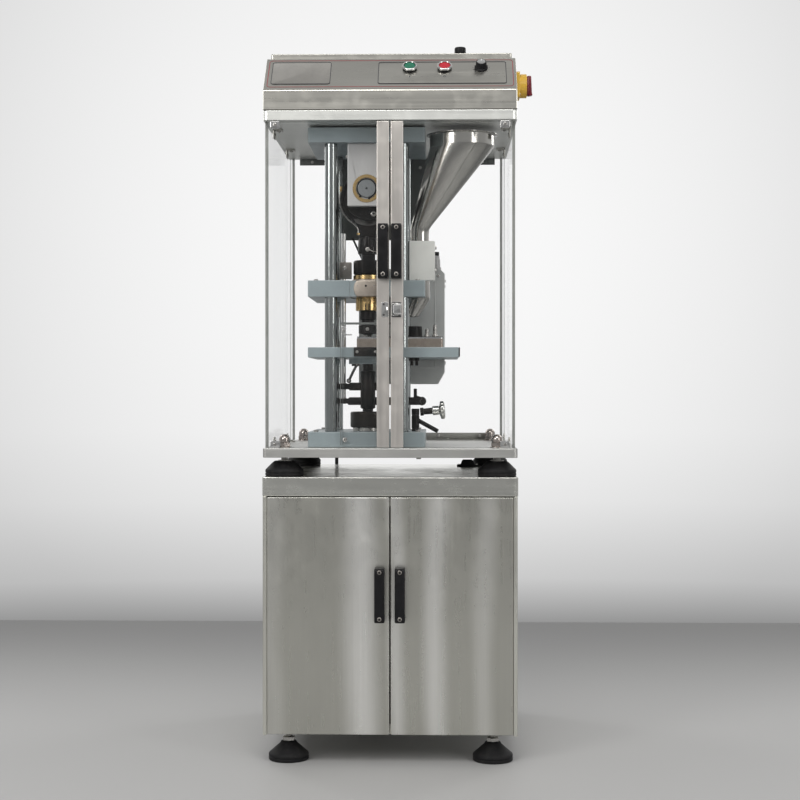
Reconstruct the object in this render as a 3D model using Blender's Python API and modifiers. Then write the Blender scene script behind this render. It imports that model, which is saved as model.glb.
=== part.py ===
"""Single-punch tablet press in a clear enclosure, standing on a two-door stainless cabinet.

Metres, +Z up, the front faces -Y. The design frame has X = 0 and Y = 0 in the middle of the base
plate and Z = 0 on the floor. Everything hangs from one empty, which moves the design frame so that
the origin lies on the floor under the middle of the object's box.
"""

import math

import bmesh
import bpy
from mathutils import Matrix, Vector

# Gap between touching parts, sheet thickness, and how far a cutter reaches past what it cuts
GAP = 0.0003
SHEET = 0.0025
OVER = 0.01

# Cabinet
CABINET_HALF_WIDTH = 0.2455
CABINET_FRONT = -0.2585
CABINET_BACK = 0.2580
CABINET_BOTTOM = 0.055
CABINET_TOP = 0.5157
CABINET_SIDE = 0.008
CABINET_RAIL = 0.020
CABINET_DOOR_DEEP = 0.018
CABINET_DOOR_LOW = 0.057
CABINET_DOOR_HIGH = 0.514
CABINET_DOOR_EDGE = 0.2370
DOOR_MEETING_GAP = 0.0026
CABINET_HANDLE_X = 0.0195
CABINET_HANDLE_Z = 0.3275
FOOT_X = 0.199
FOOT_Y = 0.215

# Worktop, machine feet and base plate
WORKTOP_HALF_WIDTH = 0.2465
HALF_DEPTH = 0.260
WORKTOP_LOW = 0.516
WORKTOP_HIGH = 0.553
MACHINE_FOOT_X = 0.207
BASE_HALF_WIDTH = 0.245
BASE_LOW = 0.590
BASE_HIGH = 0.608

# Clear enclosure
PANEL = 0.005
ENCLOSURE_HALF_WIDTH = 0.240
ENCLOSURE_BACK = 0.250
ENCLOSURE_TOP = 1.2377
DOOR_FRONT = -0.2555
DOOR_LOW = 0.6095
DOOR_HIGH = 1.2360
DOOR_HINGE_X = 0.237
STILE_IN = 0.0015
STILE_OUT = 0.0255
STILE_FRONT = -0.2590
STILE_BACK = -0.2450
DOOR_HANDLE_X = 0.0128
DOOR_HANDLE_Z = 0.9855
HANDLE_WIDE = 0.0195
HANDLE_TALL = 0.105
HANDLE_DEEP = 0.028
LATCH_Z = 0.8745

# Control head
HEAD_HALF_WIDTH = 0.244
HEAD_FRONT = -0.260
HEAD_BACK = 0.258
HEAD_LOW = 1.238
RIM_HIGH = 1.257
HOUSING_LOW = 1.258
SLOPE_START = 1.296
HOUSING_HIGH = 1.371
COVER_HIGH = 1.383
COVER_FRONT = -0.175
COVER_INSET = 0.0065
SLOPE = math.radians(45)
CONTROL_ROW = 0.070
START_X = 0.037
STOP_X = 0.105
KNOB_X = 0.176
CAP_X = 0.136
CAP_Y = -0.150
CAP_HIGH = 1.399
SWITCH_Y = -0.150
SWITCH_Z = 1.322
SWITCH_FACE = 0.267
SWITCH_REACH = 0.279

# Press frame: four columns through four platens
PUNCH_X = -0.048
PUNCH_Y = -0.135
PLATEN_LEFT = -0.163
PLATEN_RIGHT = 0.067
TABLE_RIGHT = 0.133
PLATEN_FRONT = -0.200
PLATEN_BACK = 0.035
COLUMN_RADIUS = 0.0125
COLUMN_REACH = 0.0705
COLUMN_FRONT_Y = -0.180
COLUMN_BACK_Y = -0.005
LOWER_PLATEN_HIGH = 0.638
TABLE_LOW = 0.784
TABLE_HIGH = 0.804
MID_LOW = 0.903
MID_HIGH = 0.935
TOP_LOW = 1.205
TOP_HIGH = 1.234

# Drive and punches
SHAFT_Z = 1.116
SHAFT_RADIUS = 0.0175
CRANK_THROW = 0.015
STRAP_RADIUS = 0.054
STRAP_BORE = 0.034
STRAP_THICK = 0.018
WEB_RADIUS = 0.044
GUIDE_RADIUS = 0.032
SLEEVE_RADIUS = 0.0242
TIP_RADIUS = 0.005
LIFT_X = -0.097
PULLEY_Y = 0.058
PULLEY_WIDE = 0.024
CRANK_PULLEY = 0.065
MOTOR_PULLEY = 0.022
MOTOR_X = 0.026
MOTOR_Z = 0.850
HOPPER_X = 0.140
NECK_X = 0.055
POST_X = 0.047
STAR_TILT = math.radians(5)

# Mains lead
LEAD_RADIUS = 0.004
GLAND_X = -0.141
GLAND_Z = 1.300
GLAND_END = 0.294
COIL_X = -0.055
COIL_Y = 0.3185
COIL_RADIUS = 0.048
COIL_HALF_WIDE = 0.012
COIL_HIGH = 0.0165
LEAD_ROUTE = [
    (-0.141, 0.2943, 1.3000), (-0.141, 0.3060, 1.3000), (-0.141, 0.3220, 1.2985), (-0.141, 0.3400, 1.2910),
    (-0.141, 0.3560, 1.2770), (-0.141, 0.3670, 1.2560), (-0.141, 0.3730, 1.2300), (-0.1415, 0.3755, 1.1900),
    (-0.142, 0.3760, 1.1000), (-0.143, 0.3760, 0.9500), (-0.144, 0.3760, 0.8000), (-0.1445, 0.3760, 0.6000),
    (-0.145, 0.3755, 0.4000), (-0.1455, 0.3750, 0.2500), (-0.146, 0.3748, 0.1400), (-0.145, 0.3746, 0.0950),
    (-0.141, 0.3745, 0.0600), (-0.131, 0.3745, 0.0330), (-0.115, 0.3745, 0.0145), (-0.099, 0.3745, 0.0062),
    (-0.087, 0.3745, 0.0046),
]

# The box that the frame's origin stands under, without the mains lead
LEFT_REACH = -WORKTOP_HALF_WIDTH
FRONT_REACH = STILE_FRONT - GAP - HANDLE_DEEP
ORIGIN_SHIFT = Vector((-(SWITCH_REACH + LEFT_REACH) / 2, -(HALF_DEPTH + FRONT_REACH) / 2, 0))

for old in list(bpy.data.objects):
    bpy.data.objects.remove(old, do_unlink=True)

PARTS = bpy.data.collections.new("tablet_press")
CUTTERS = bpy.data.collections.new("cutters")
bpy.context.scene.collection.children.link(PARTS)
bpy.context.scene.collection.children.link(CUTTERS)
CUTTERS.hide_render = True

ORIGIN = bpy.data.objects.new("press_origin", None)
ORIGIN.location = ORIGIN_SHIFT
PARTS.objects.link(ORIGIN)


def finish(name, colour, roughness, metallic=0.0, alpha=1.0):
    made = bpy.data.materials.new(name)
    made.use_nodes = True
    shader = made.node_tree.nodes["Principled BSDF"]
    shader.inputs["Base Color"].default_value = (*colour, 1.0)
    shader.inputs["Roughness"].default_value = roughness
    shader.inputs["Metallic"].default_value = metallic
    shader.inputs["Alpha"].default_value = alpha
    return made


def tone(name, kind):
    """A finish of its own for one part, after the kind of material it is made of."""
    kinds = {
        "stainless": ((0.50, 0.49, 0.45), 0.34, 1.0),
        "steel": ((0.56, 0.56, 0.55), 0.28, 1.0),
        "dark_steel": ((0.10, 0.10, 0.10), 0.40, 1.0),
        "aluminium": ((0.72, 0.71, 0.68), 0.36, 1.0),
        "blue_grey_paint": ((0.22, 0.28, 0.30), 0.45, 0.0),
        "light_grey_paint": ((0.58, 0.60, 0.61), 0.45, 0.0),
        "brass": ((0.70, 0.48, 0.20), 0.30, 1.0),
        "bronze": ((0.36, 0.25, 0.13), 0.38, 1.0),
        "black_plastic": ((0.018, 0.018, 0.020), 0.45, 0.0),
        "rubber": ((0.020, 0.020, 0.020), 0.75, 0.0),
        "acrylic": ((0.90, 0.93, 0.92), 0.05, 0.0, 0.25),
        "green": ((0.02, 0.20, 0.12), 0.35, 0.0),
        "red": ((0.50, 0.02, 0.04), 0.35, 0.0),
        "yellow": ((0.75, 0.48, 0.03), 0.40, 0.0),
        "dark_red": ((0.16, 0.01, 0.02), 0.40, 0.0),
    }
    return finish(name + "_finish", *kinds[kind])


def place(name, mesh, kind, at=(0, 0, 0), turn=None):
    """Links a mesh as a part or, with no kind, as a helper that only cuts or joins."""
    made = bpy.data.objects.new(name, mesh)
    made.parent = ORIGIN
    made.location = at
    if turn is not None:
        made.rotation_euler = turn
    if kind is None:
        made.hide_render = True
        made.display_type = "WIRE"
        CUTTERS.objects.link(made)
    else:
        mesh.materials.append(tone(name, kind))
        PARTS.objects.link(made)
    return made


def to_mesh(name, shape):
    mesh = bpy.data.meshes.new(name)
    shape.to_mesh(mesh)
    shape.free()
    return mesh


def edges_along(shape, axis):
    return [edge for edge in shape.edges if abs((edge.verts[0].co - edge.verts[1].co).normalized()[axis]) > 0.99]


def box(name, low, high, kind=None, corner=0.0, corner_axis=2, bevel=0.0):
    """A box between two corners; corner rounds the edges along one axis, bevel eases every edge."""
    low = Vector(low)
    high = Vector(high)
    shape = bmesh.new()
    bmesh.ops.create_cube(shape, size=1.0)
    bmesh.ops.scale(shape, vec=high - low, verts=shape.verts)
    if corner:
        bmesh.ops.bevel(
            shape, geom=edges_along(shape, corner_axis), offset=corner, segments=3, profile=0.5, affect="EDGES"
        )
    if bevel:
        bmesh.ops.bevel(shape, geom=shape.edges[:], offset=bevel, segments=1, profile=0.5, affect="EDGES")
    return place(name, to_mesh(name, shape), kind, (low + high) / 2)


TURNS = {"X": (0, math.pi / 2, 0), "Y": (-math.pi / 2, 0, 0), "Z": (0, 0, 0)}


def cylinder(name, centre, radius, length, kind=None, axis="Z", sides=24, far_radius=None):
    """A cylinder, or a cone whose far end along the axis has its own radius."""
    shape = bmesh.new()
    end = radius if far_radius is None else far_radius
    bmesh.ops.create_cone(shape, cap_ends=True, segments=sides, radius1=radius, radius2=end, depth=length)
    return place(name, to_mesh(name, shape), kind, centre, TURNS[axis])


def turned(name, at, profile, kind=None, turn=(0, 0, 0), steps=24, ring=False):
    """A profile of (radius, height) points, top to bottom, turned about its own Z; a ring's profile closes."""
    mesh = bpy.data.meshes.new(name)
    points = [(radius, 0, height) for radius, height in profile]
    edges = [(index, index + 1) for index in range(len(points) - 1)]
    if ring:
        edges.append((len(points) - 1, 0))
    mesh.from_pydata(points, edges, [])
    made = place(name, mesh, kind, at, turn)
    screw = made.modifiers.new("turn", "SCREW")
    screw.axis = "Z"
    screw.steps = steps
    screw.render_steps = steps
    screw.use_merge_vertices = True
    screw.merge_threshold = 0.00001
    return made


def from_curve(name, curve, kind, at, turn=None):
    """The closed mesh of a curve object, so that it can be cut and joined."""
    holder = bpy.data.objects.new(name + "_curve", curve)
    bpy.context.scene.collection.objects.link(holder)
    graph = bpy.context.evaluated_depsgraph_get()
    mesh = bpy.data.meshes.new_from_object(holder.evaluated_get(graph))
    shape = bmesh.new()
    shape.from_mesh(mesh)
    bmesh.ops.remove_doubles(shape, verts=shape.verts, dist=0.000001)
    bmesh.ops.recalc_face_normals(shape, faces=shape.faces)
    shape.to_mesh(mesh)
    shape.free()
    mesh.materials.clear()
    bpy.data.objects.remove(holder, do_unlink=True)
    return place(name, mesh, kind, at, turn)


def slab(name, outline, thickness, kind=None, at=(0, 0, 0), turn=None):
    """A flat outline in its own XY, filled and thickened equally to both sides."""
    curve = bpy.data.curves.new(name, "CURVE")
    curve.dimensions = "2D"
    curve.fill_mode = "BOTH"
    curve.extrude = thickness / 2
    spline = curve.splines.new("POLY")
    spline.points.add(len(outline) - 1)
    for point, (across, up) in zip(spline.points, outline):
        point.co = (across, up, 0, 1)
    spline.use_cyclic_u = True
    return from_curve(name, curve, kind, at, turn)


# Turns a slab's own X and Y into the object's Y and Z, so that its thickness lies along X
PROFILE_TURN = (math.pi / 2, 0, math.pi / 2)

# Turns a slab's own X and Y into the object's Z and X, so that its thickness lies along Y
GRIP_TURN = (-math.pi / 2, -math.pi / 2, 0)


def capsule(length_low, length_high, radius, steps=6):
    """The outline of a bar with round ends, centred on Y = 0."""
    points = []
    for step in range(steps + 1):
        angle = -math.pi / 2 + math.pi * step / steps
        points.append((length_high - radius + radius * math.cos(angle), radius * math.sin(angle)))
    for step in range(steps + 1):
        angle = math.pi / 2 + math.pi * step / steps
        points.append((length_low + radius + radius * math.cos(angle), radius * math.sin(angle)))
    return points


def boolean(target, operation, others):
    for other in others:
        modifier = target.modifiers.new(f"{operation.lower()}_{other.name}", "BOOLEAN")
        modifier.operation = operation
        modifier.object = other
        modifier.solver = "EXACT"
    return target


def cut(target, *cutters):
    return boolean(target, "DIFFERENCE", cutters)


def join(target, *others):
    return boolean(target, "UNION", others)


def pivot(name, at, *pieces):
    """An empty on a joint's axis, with the pieces that turn or slide there as its children."""
    empty = bpy.data.objects.new(name, None)
    empty.parent = ORIGIN
    empty.location = at
    PARTS.objects.link(empty)
    for piece in pieces:
        piece.parent = empty
        piece.location = piece.location - Vector(at)
    return empty


def smooth_route(points, spacing):
    """Points at an even spacing on a Catmull-Rom curve through the route's own points."""
    knots = [Vector(point) for point in points]
    knots = [knots[0] * 2 - knots[1]] + knots + [knots[-1] * 2 - knots[-2]]
    fine = []
    for index in range(1, len(knots) - 2):
        before, start, end, after = knots[index - 1 : index + 3]
        for step in range(20):
            t = step / 20
            fine.append(
                0.5
                * (
                    2 * start
                    + (end - before) * t
                    + (2 * before - 5 * start + 4 * end - after) * t**2
                    + (3 * start - before - 3 * end + after) * t**3
                )
            )
    fine.append(knots[-2])
    lengths = [0.0]
    for first, second in zip(fine, fine[1:]):
        lengths.append(lengths[-1] + (second - first).length)
    count = max(2, round(lengths[-1] / spacing))
    route = []
    place_on = 0
    for index in range(count + 1):
        wanted = lengths[-1] * index / count
        while place_on < len(fine) - 2 and lengths[place_on + 1] < wanted:
            place_on += 1
        share = (wanted - lengths[place_on]) / (lengths[place_on + 1] - lengths[place_on])
        route.append(fine[place_on].lerp(fine[place_on + 1], share))
    return route


def tube(name, points, radius, kind):
    curve = bpy.data.curves.new(name, "CURVE")
    curve.dimensions = "3D"
    curve.bevel_depth = radius
    curve.bevel_resolution = 2
    curve.use_fill_caps = True
    spline = curve.splines.new("POLY")
    spline.points.add(len(points) - 1)
    for point, where in zip(spline.points, points):
        point.co = (*where, 1)
    return from_curve(name, curve, kind, (0, 0, 0))


def bridge_handle(name, x, z, face, kind="black_plastic"):
    """A pull handle: a bar on two feet, with room for the fingers behind the bar."""
    foot_tall = 0.015
    bar_deep = 0.009
    half = HANDLE_WIDE / 2
    low = (x - half, face - HANDLE_DEEP, z - HANDLE_TALL / 2)
    high = (x + half, face, z + HANDLE_TALL / 2)
    handle = box(name, low, high, kind, corner=0.006, corner_axis=0)
    gap_low = (x - half - OVER, face - HANDLE_DEEP + bar_deep, z - HANDLE_TALL / 2 + foot_tall)
    gap_high = (x + half + OVER, face + OVER, z + HANDLE_TALL / 2 - foot_tall)
    return cut(handle, box(name + "_gap", gap_low, gap_high, corner=0.005, corner_axis=0))


def build_cabinet():
    inside = CABINET_HALF_WIDTH - SHEET
    shell = box(
        "cabinet_shell",
        (-CABINET_HALF_WIDTH, CABINET_FRONT, CABINET_BOTTOM),
        (CABINET_HALF_WIDTH, CABINET_BACK, CABINET_TOP),
        "stainless",
        corner=0.004,
    )
    hollow = box(
        "cabinet_hollow",
        (-inside, CABINET_FRONT + 0.022, CABINET_BOTTOM + SHEET),
        (inside, CABINET_BACK - SHEET, CABINET_TOP - SHEET),
    )
    recess_half = CABINET_HALF_WIDTH - CABINET_SIDE
    recess = box(
        "cabinet_recess",
        (-recess_half, CABINET_FRONT - OVER, CABINET_BOTTOM - OVER),
        (recess_half, CABINET_FRONT + CABINET_DOOR_DEEP + GAP, CABINET_TOP + OVER),
    )
    mouth_half = CABINET_HALF_WIDTH - CABINET_RAIL
    mouth = box(
        "cabinet_mouth",
        (-mouth_half, CABINET_FRONT - OVER, CABINET_BOTTOM + CABINET_RAIL),
        (mouth_half, CABINET_FRONT + 0.03, CABINET_TOP - CABINET_RAIL),
    )
    cut(shell, hollow, recess, mouth)
    for side, label in ((-1, "left"), (1, "right")):
        edges = sorted((side * CABINET_DOOR_EDGE, side * DOOR_MEETING_GAP / 2))
        door = box(
            f"cabinet_door_{label}",
            (edges[0], CABINET_FRONT, CABINET_DOOR_LOW),
            (edges[1], CABINET_FRONT + CABINET_DOOR_DEEP, CABINET_DOOR_HIGH),
            "stainless",
            corner=0.0015,
        )
        pan = box(
            f"cabinet_door_pan_{label}",
            (edges[0] + SHEET, CABINET_FRONT + SHEET, CABINET_DOOR_LOW + SHEET),
            (edges[1] - SHEET, CABINET_FRONT + CABINET_DOOR_DEEP + OVER, CABINET_DOOR_HIGH - SHEET),
        )
        cut(door, pan)
        handle = bridge_handle(
            f"cabinet_handle_{label}", side * CABINET_HANDLE_X, CABINET_HANDLE_Z, CABINET_FRONT - GAP
        )
        pivot(f"cabinet_hinge_{label}", (side * CABINET_DOOR_EDGE, CABINET_FRONT, CABINET_DOOR_LOW), door, handle)
    top = box(
        "worktop",
        (-WORKTOP_HALF_WIDTH, -HALF_DEPTH, WORKTOP_LOW),
        (WORKTOP_HALF_WIDTH, HALF_DEPTH, WORKTOP_HIGH),
        "stainless",
        corner=0.008,
    )
    under = box(
        "worktop_under",
        (-WORKTOP_HALF_WIDTH + SHEET, -HALF_DEPTH + SHEET, WORKTOP_LOW - OVER),
        (WORKTOP_HALF_WIDTH - SHEET, HALF_DEPTH - SHEET, WORKTOP_HIGH - SHEET),
        corner=0.006,
    )
    cut(top, under)


def corners():
    for depth, end in ((-1, "front"), (1, "rear")):
        for side, label in ((-1, "left"), (1, "right")):
            yield side, depth, f"{end}_{label}"


def build_feet():
    cabinet_profile = [
        (0, 0.0547), (0.006, 0.0547), (0.006, 0.046), (0.012, 0.046), (0.012, 0.037), (0.017, 0.034),
        (0.037, 0.014), (0.039, 0.012), (0.039, 0.002), (0.037, 0.0), (0, 0.0),
    ]
    machine_profile = [
        (0, 0.0364), (0.012, 0.0364), (0.012, 0.029), (0.018, 0.0285), (0.0355, 0.0125),
        (0.0375, 0.0105), (0.0375, 0.0015), (0.036, 0.0), (0, 0.0),
    ]
    for side, depth, label in corners():
        turned(f"cabinet_foot_{label}", (side * FOOT_X, depth * FOOT_Y, 0), cabinet_profile, "rubber")
        where = (side * MACHINE_FOOT_X, depth * FOOT_Y, WORKTOP_HIGH + GAP)
        turned(f"machine_foot_{label}", where, machine_profile, "rubber")


def build_enclosure():
    base_low = (-BASE_HALF_WIDTH, -HALF_DEPTH, BASE_LOW)
    box("base_plate", base_low, (BASE_HALF_WIDTH, HALF_DEPTH, BASE_HIGH), "aluminium", corner=0.006)
    side_front = DOOR_FRONT + PANEL + 0.006
    side_back = ENCLOSURE_BACK - PANEL - GAP
    for side, label in ((-1, "left"), (1, "right")):
        faces = sorted((side * ENCLOSURE_HALF_WIDTH, side * (ENCLOSURE_HALF_WIDTH - PANEL)))
        box(
            f"panel_{label}",
            (faces[0], side_front, BASE_HIGH + GAP),
            (faces[1], side_back, ENCLOSURE_TOP),
            "acrylic",
        )
        pane_edges = sorted((side * ENCLOSURE_HALF_WIDTH, side * (STILE_OUT + GAP)))
        pane = box(
            f"door_pane_{label}",
            (pane_edges[0], DOOR_FRONT, DOOR_LOW),
            (pane_edges[1], DOOR_FRONT + PANEL, DOOR_HIGH),
            "acrylic",
        )
        stile_edges = sorted((side * STILE_IN, side * STILE_OUT))
        stile = box(
            f"door_stile_{label}",
            (stile_edges[0], STILE_FRONT, DOOR_LOW),
            (stile_edges[1], STILE_BACK, DOOR_HIGH),
            "aluminium",
            corner=0.0012,
        )
        handle = bridge_handle(f"door_handle_{label}", side * DOOR_HANDLE_X, DOOR_HANDLE_Z, STILE_FRONT - GAP)
        hinge_at = (side * DOOR_HINGE_X, DOOR_FRONT + PANEL / 2, DOOR_LOW)
        hinge = pivot(f"door_hinge_{label}", hinge_at, pane, stile, handle)
        if side > 0:
            build_latch(hinge)
    box(
        "panel_back",
        (-ENCLOSURE_HALF_WIDTH, ENCLOSURE_BACK - PANEL, BASE_HIGH + GAP),
        (ENCLOSURE_HALF_WIDTH, ENCLOSURE_BACK, ENCLOSURE_TOP),
        "acrylic",
    )


def build_latch(hinge):
    """The toggle lever on the right stile, on an empty that rides on the right door's hinge."""
    axis_at = Vector((0.0195, STILE_FRONT - 0.0055, LATCH_Z))
    lever = box(
        "latch_lever",
        axis_at + Vector((-0.0155, -0.002, -0.0125)),
        axis_at + Vector((0.002, 0.002, 0.0125)),
        "steel",
        corner=0.0015,
    )
    swing = pivot("latch_hinge", axis_at, lever)
    swing.parent = hinge
    swing.location = axis_at - hinge.location


def on_slope(across, along, out=0.0):
    """A point on the sloped control face: along counts up the slope, out counts away from it."""
    up = math.sin(SLOPE)
    back = math.cos(SLOPE)
    return Vector((across, HEAD_FRONT + along * back - out * up, SLOPE_START + along * up + out * back))


def build_head():
    tray = box(
        "head_base",
        (-HEAD_HALF_WIDTH, HEAD_FRONT, HEAD_LOW),
        (HEAD_HALF_WIDTH, HEAD_BACK, RIM_HIGH),
        "stainless",
        corner=0.008,
    )
    inner_half = HEAD_HALF_WIDTH - SHEET
    cut(
        tray,
        box(
            "head_base_inside",
            (-inner_half, HEAD_FRONT + SHEET, HEAD_LOW + SHEET),
            (inner_half, HEAD_BACK - SHEET, RIM_HIGH + OVER),
            corner=0.006,
        ),
    )
    run = HOUSING_HIGH - SLOPE_START
    outline = [
        (HEAD_FRONT, HOUSING_LOW), (HEAD_BACK, HOUSING_LOW), (HEAD_BACK, HOUSING_HIGH),
        (HEAD_FRONT + run, HOUSING_HIGH), (HEAD_FRONT, SLOPE_START),
    ]
    housing = slab("control_housing", outline, 2 * HEAD_HALF_WIDTH, "stainless", turn=PROFILE_TURN)
    cover = box(
        "top_cover",
        (-HEAD_HALF_WIDTH + COVER_INSET, COVER_FRONT, HOUSING_HIGH - 0.002),
        (HEAD_HALF_WIDTH - COVER_INSET, HEAD_BACK - COVER_INSET, COVER_HIGH),
        corner=0.004,
    )
    inner = [
        (HEAD_FRONT + SHEET, HEAD_LOW), (HEAD_BACK - SHEET, HEAD_LOW), (HEAD_BACK - SHEET, HOUSING_HIGH - SHEET),
        (HEAD_FRONT + run + 0.001, HOUSING_HIGH - SHEET), (HEAD_FRONT + SHEET, SLOPE_START - 0.001),
    ]
    hollow = slab("housing_inside", inner, 2 * inner_half, turn=PROFILE_TURN)
    join(housing, cover)
    holes = [hollow]
    tilt = (SLOPE, 0, 0)
    for label, across, kind in (("start", START_X, "green"), ("stop", STOP_X, "red")):
        hole = cylinder(f"{label}_hole", on_slope(across, CONTROL_ROW), 0.0116, 0.02)
        hole.rotation_euler = tilt
        holes.append(hole)
        profile = [(0, 0.0062), (0.0095, 0.0062), (0.0108, 0.005), (0.0108, -0.016), (0, -0.016)]
        button = turned(f"{label}_button", on_slope(across, CONTROL_ROW), profile, kind, tilt)
        pivot(f"{label}_push", on_slope(across, CONTROL_ROW), button)
    gland_hole = cylinder("gland_hole", (GLAND_X, HEAD_BACK, GLAND_Z), 0.0102, 0.02, axis="Y")
    cut(housing, *holes, gland_hole)
    knob_profile = [
        (0, 0.0165), (0.0085, 0.0165), (0.0095, 0.0155), (0.0103, 0.005),
        (0.013, 0.0035), (0.013, 0.0005), (0, 0.0005),
    ]
    knob = turned("speed_knob", on_slope(KNOB_X, CONTROL_ROW), knob_profile, "black_plastic", tilt)
    pivot("speed_turn", on_slope(KNOB_X, CONTROL_ROW), knob)
    cap_profile = [
        (0, CAP_HIGH), (0.0095, CAP_HIGH), (0.011, CAP_HIGH - 0.0015), (0.0112, COVER_HIGH + 0.004),
        (0.013, COVER_HIGH + 0.0035), (0.013, COVER_HIGH + GAP), (0, COVER_HIGH + GAP),
    ]
    cap = turned("top_cap", (CAP_X, CAP_Y, 0), cap_profile, "black_plastic")
    pivot("cap_turn", (CAP_X, CAP_Y, COVER_HIGH), cap)
    build_switch()


def build_switch():
    wall = HEAD_HALF_WIDTH + GAP
    plate = box(
        "switch_plate",
        (wall, SWITCH_Y - 0.025, SWITCH_Z - 0.025),
        (wall + 0.009, SWITCH_Y + 0.025, SWITCH_Z + 0.025),
        "yellow",
        corner=0.003,
        corner_axis=0,
    )
    body_long = SWITCH_FACE - wall - 0.005
    boss_centre = (SWITCH_FACE - body_long / 2, SWITCH_Y, SWITCH_Z)
    join(plate, cylinder("switch_boss", boss_centre, 0.0235, body_long, axis="X"))
    disc_low = SWITCH_FACE + GAP
    disc = cylinder("switch_handle", (disc_low + 0.002, SWITCH_Y, SWITCH_Z), 0.020, 0.004, "dark_red", "X")
    grip_proud = 0.0117
    grip_side = [(-0.020, 0.0), (0.020, 0.0), (0.019, 0.0085), (-0.014, 0.0105), (-0.018, grip_proud)]
    grip_at = (SWITCH_REACH - grip_proud, SWITCH_Y, SWITCH_Z)
    join(disc, slab("switch_grip", grip_side, 0.014, None, grip_at, GRIP_TURN))
    pivot("switch_turn", (SWITCH_FACE, SWITCH_Y, SWITCH_Z), disc)


def column_places():
    for x, label in ((PUNCH_X - COLUMN_REACH, "left"), (PUNCH_X + COLUMN_REACH, "right")):
        yield x, COLUMN_FRONT_Y, f"front_{label}"
        yield x, COLUMN_BACK_Y, f"rear_{label}"


def column_holes(name, low, high):
    middle = (low + high) / 2
    deep = high - low + 2 * OVER
    return [
        cylinder(f"{name}_hole_{label}", (x, y, middle), COLUMN_RADIUS + 0.0005, deep)
        for x, y, label in column_places()
    ]


def build_press_frame():
    def platen(name, low, high, right=PLATEN_RIGHT):
        return box(name, (PLATEN_LEFT, PLATEN_FRONT, low), (right, PLATEN_BACK, high), "blue_grey_paint", corner=0.003)

    platen("lower_platen", BASE_HIGH + GAP, LOWER_PLATEN_HIGH)
    platen("top_platen", TOP_LOW, TOP_HIGH)
    table = platen("die_table", TABLE_LOW, TABLE_HIGH, TABLE_RIGHT)
    flange = cylinder("die_flange", (PUNCH_X, PUNCH_Y, TABLE_LOW - 0.005), 0.038, 0.014)
    join(table, flange)
    table_middle = (TABLE_LOW + TABLE_HIGH) / 2
    cut(
        table,
        *column_holes("table", TABLE_LOW, TABLE_HIGH),
        cylinder("die_seat", (PUNCH_X, PUNCH_Y, TABLE_HIGH - 0.004), 0.0195, 0.020),
        cylinder("lower_punch_hole", (PUNCH_X, PUNCH_Y, table_middle), 0.013, 0.060),
        cylinder("table_lift_hole", (LIFT_X, PUNCH_Y, table_middle), 0.0085, 0.05, sides=12),
    )
    middle = platen("mid_platen", MID_LOW, MID_HIGH)
    mid_height = (MID_LOW + MID_HIGH) / 2
    notch_half = GUIDE_RADIUS + GAP
    notch = box(
        "guide_notch",
        (PUNCH_X - notch_half, PLATEN_FRONT - OVER, MID_LOW - OVER),
        (PUNCH_X + notch_half, PUNCH_Y, MID_HIGH + OVER),
    )
    seat = cylinder("guide_seat", (PUNCH_X, PUNCH_Y, mid_height), GUIDE_RADIUS + 2 * GAP, 0.06, sides=32)
    neck_notch = cylinder("neck_notch", (NECK_X + 0.004, PUNCH_Y, mid_height), 0.0245, 0.06)
    lift_hole = cylinder("mid_lift_hole", (LIFT_X, PUNCH_Y, mid_height), 0.0085, 0.06, sides=12)
    cut(middle, *column_holes("mid", MID_LOW, MID_HIGH), notch, seat, neck_notch, lift_hole)
    column_low = LOWER_PLATEN_HIGH + GAP
    column_high = TOP_LOW - GAP
    for x, y, label in column_places():
        centre = (x, y, (column_low + column_high) / 2)
        cylinder(f"column_{label}", centre, COLUMN_RADIUS, column_high - column_low, "steel")


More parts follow.
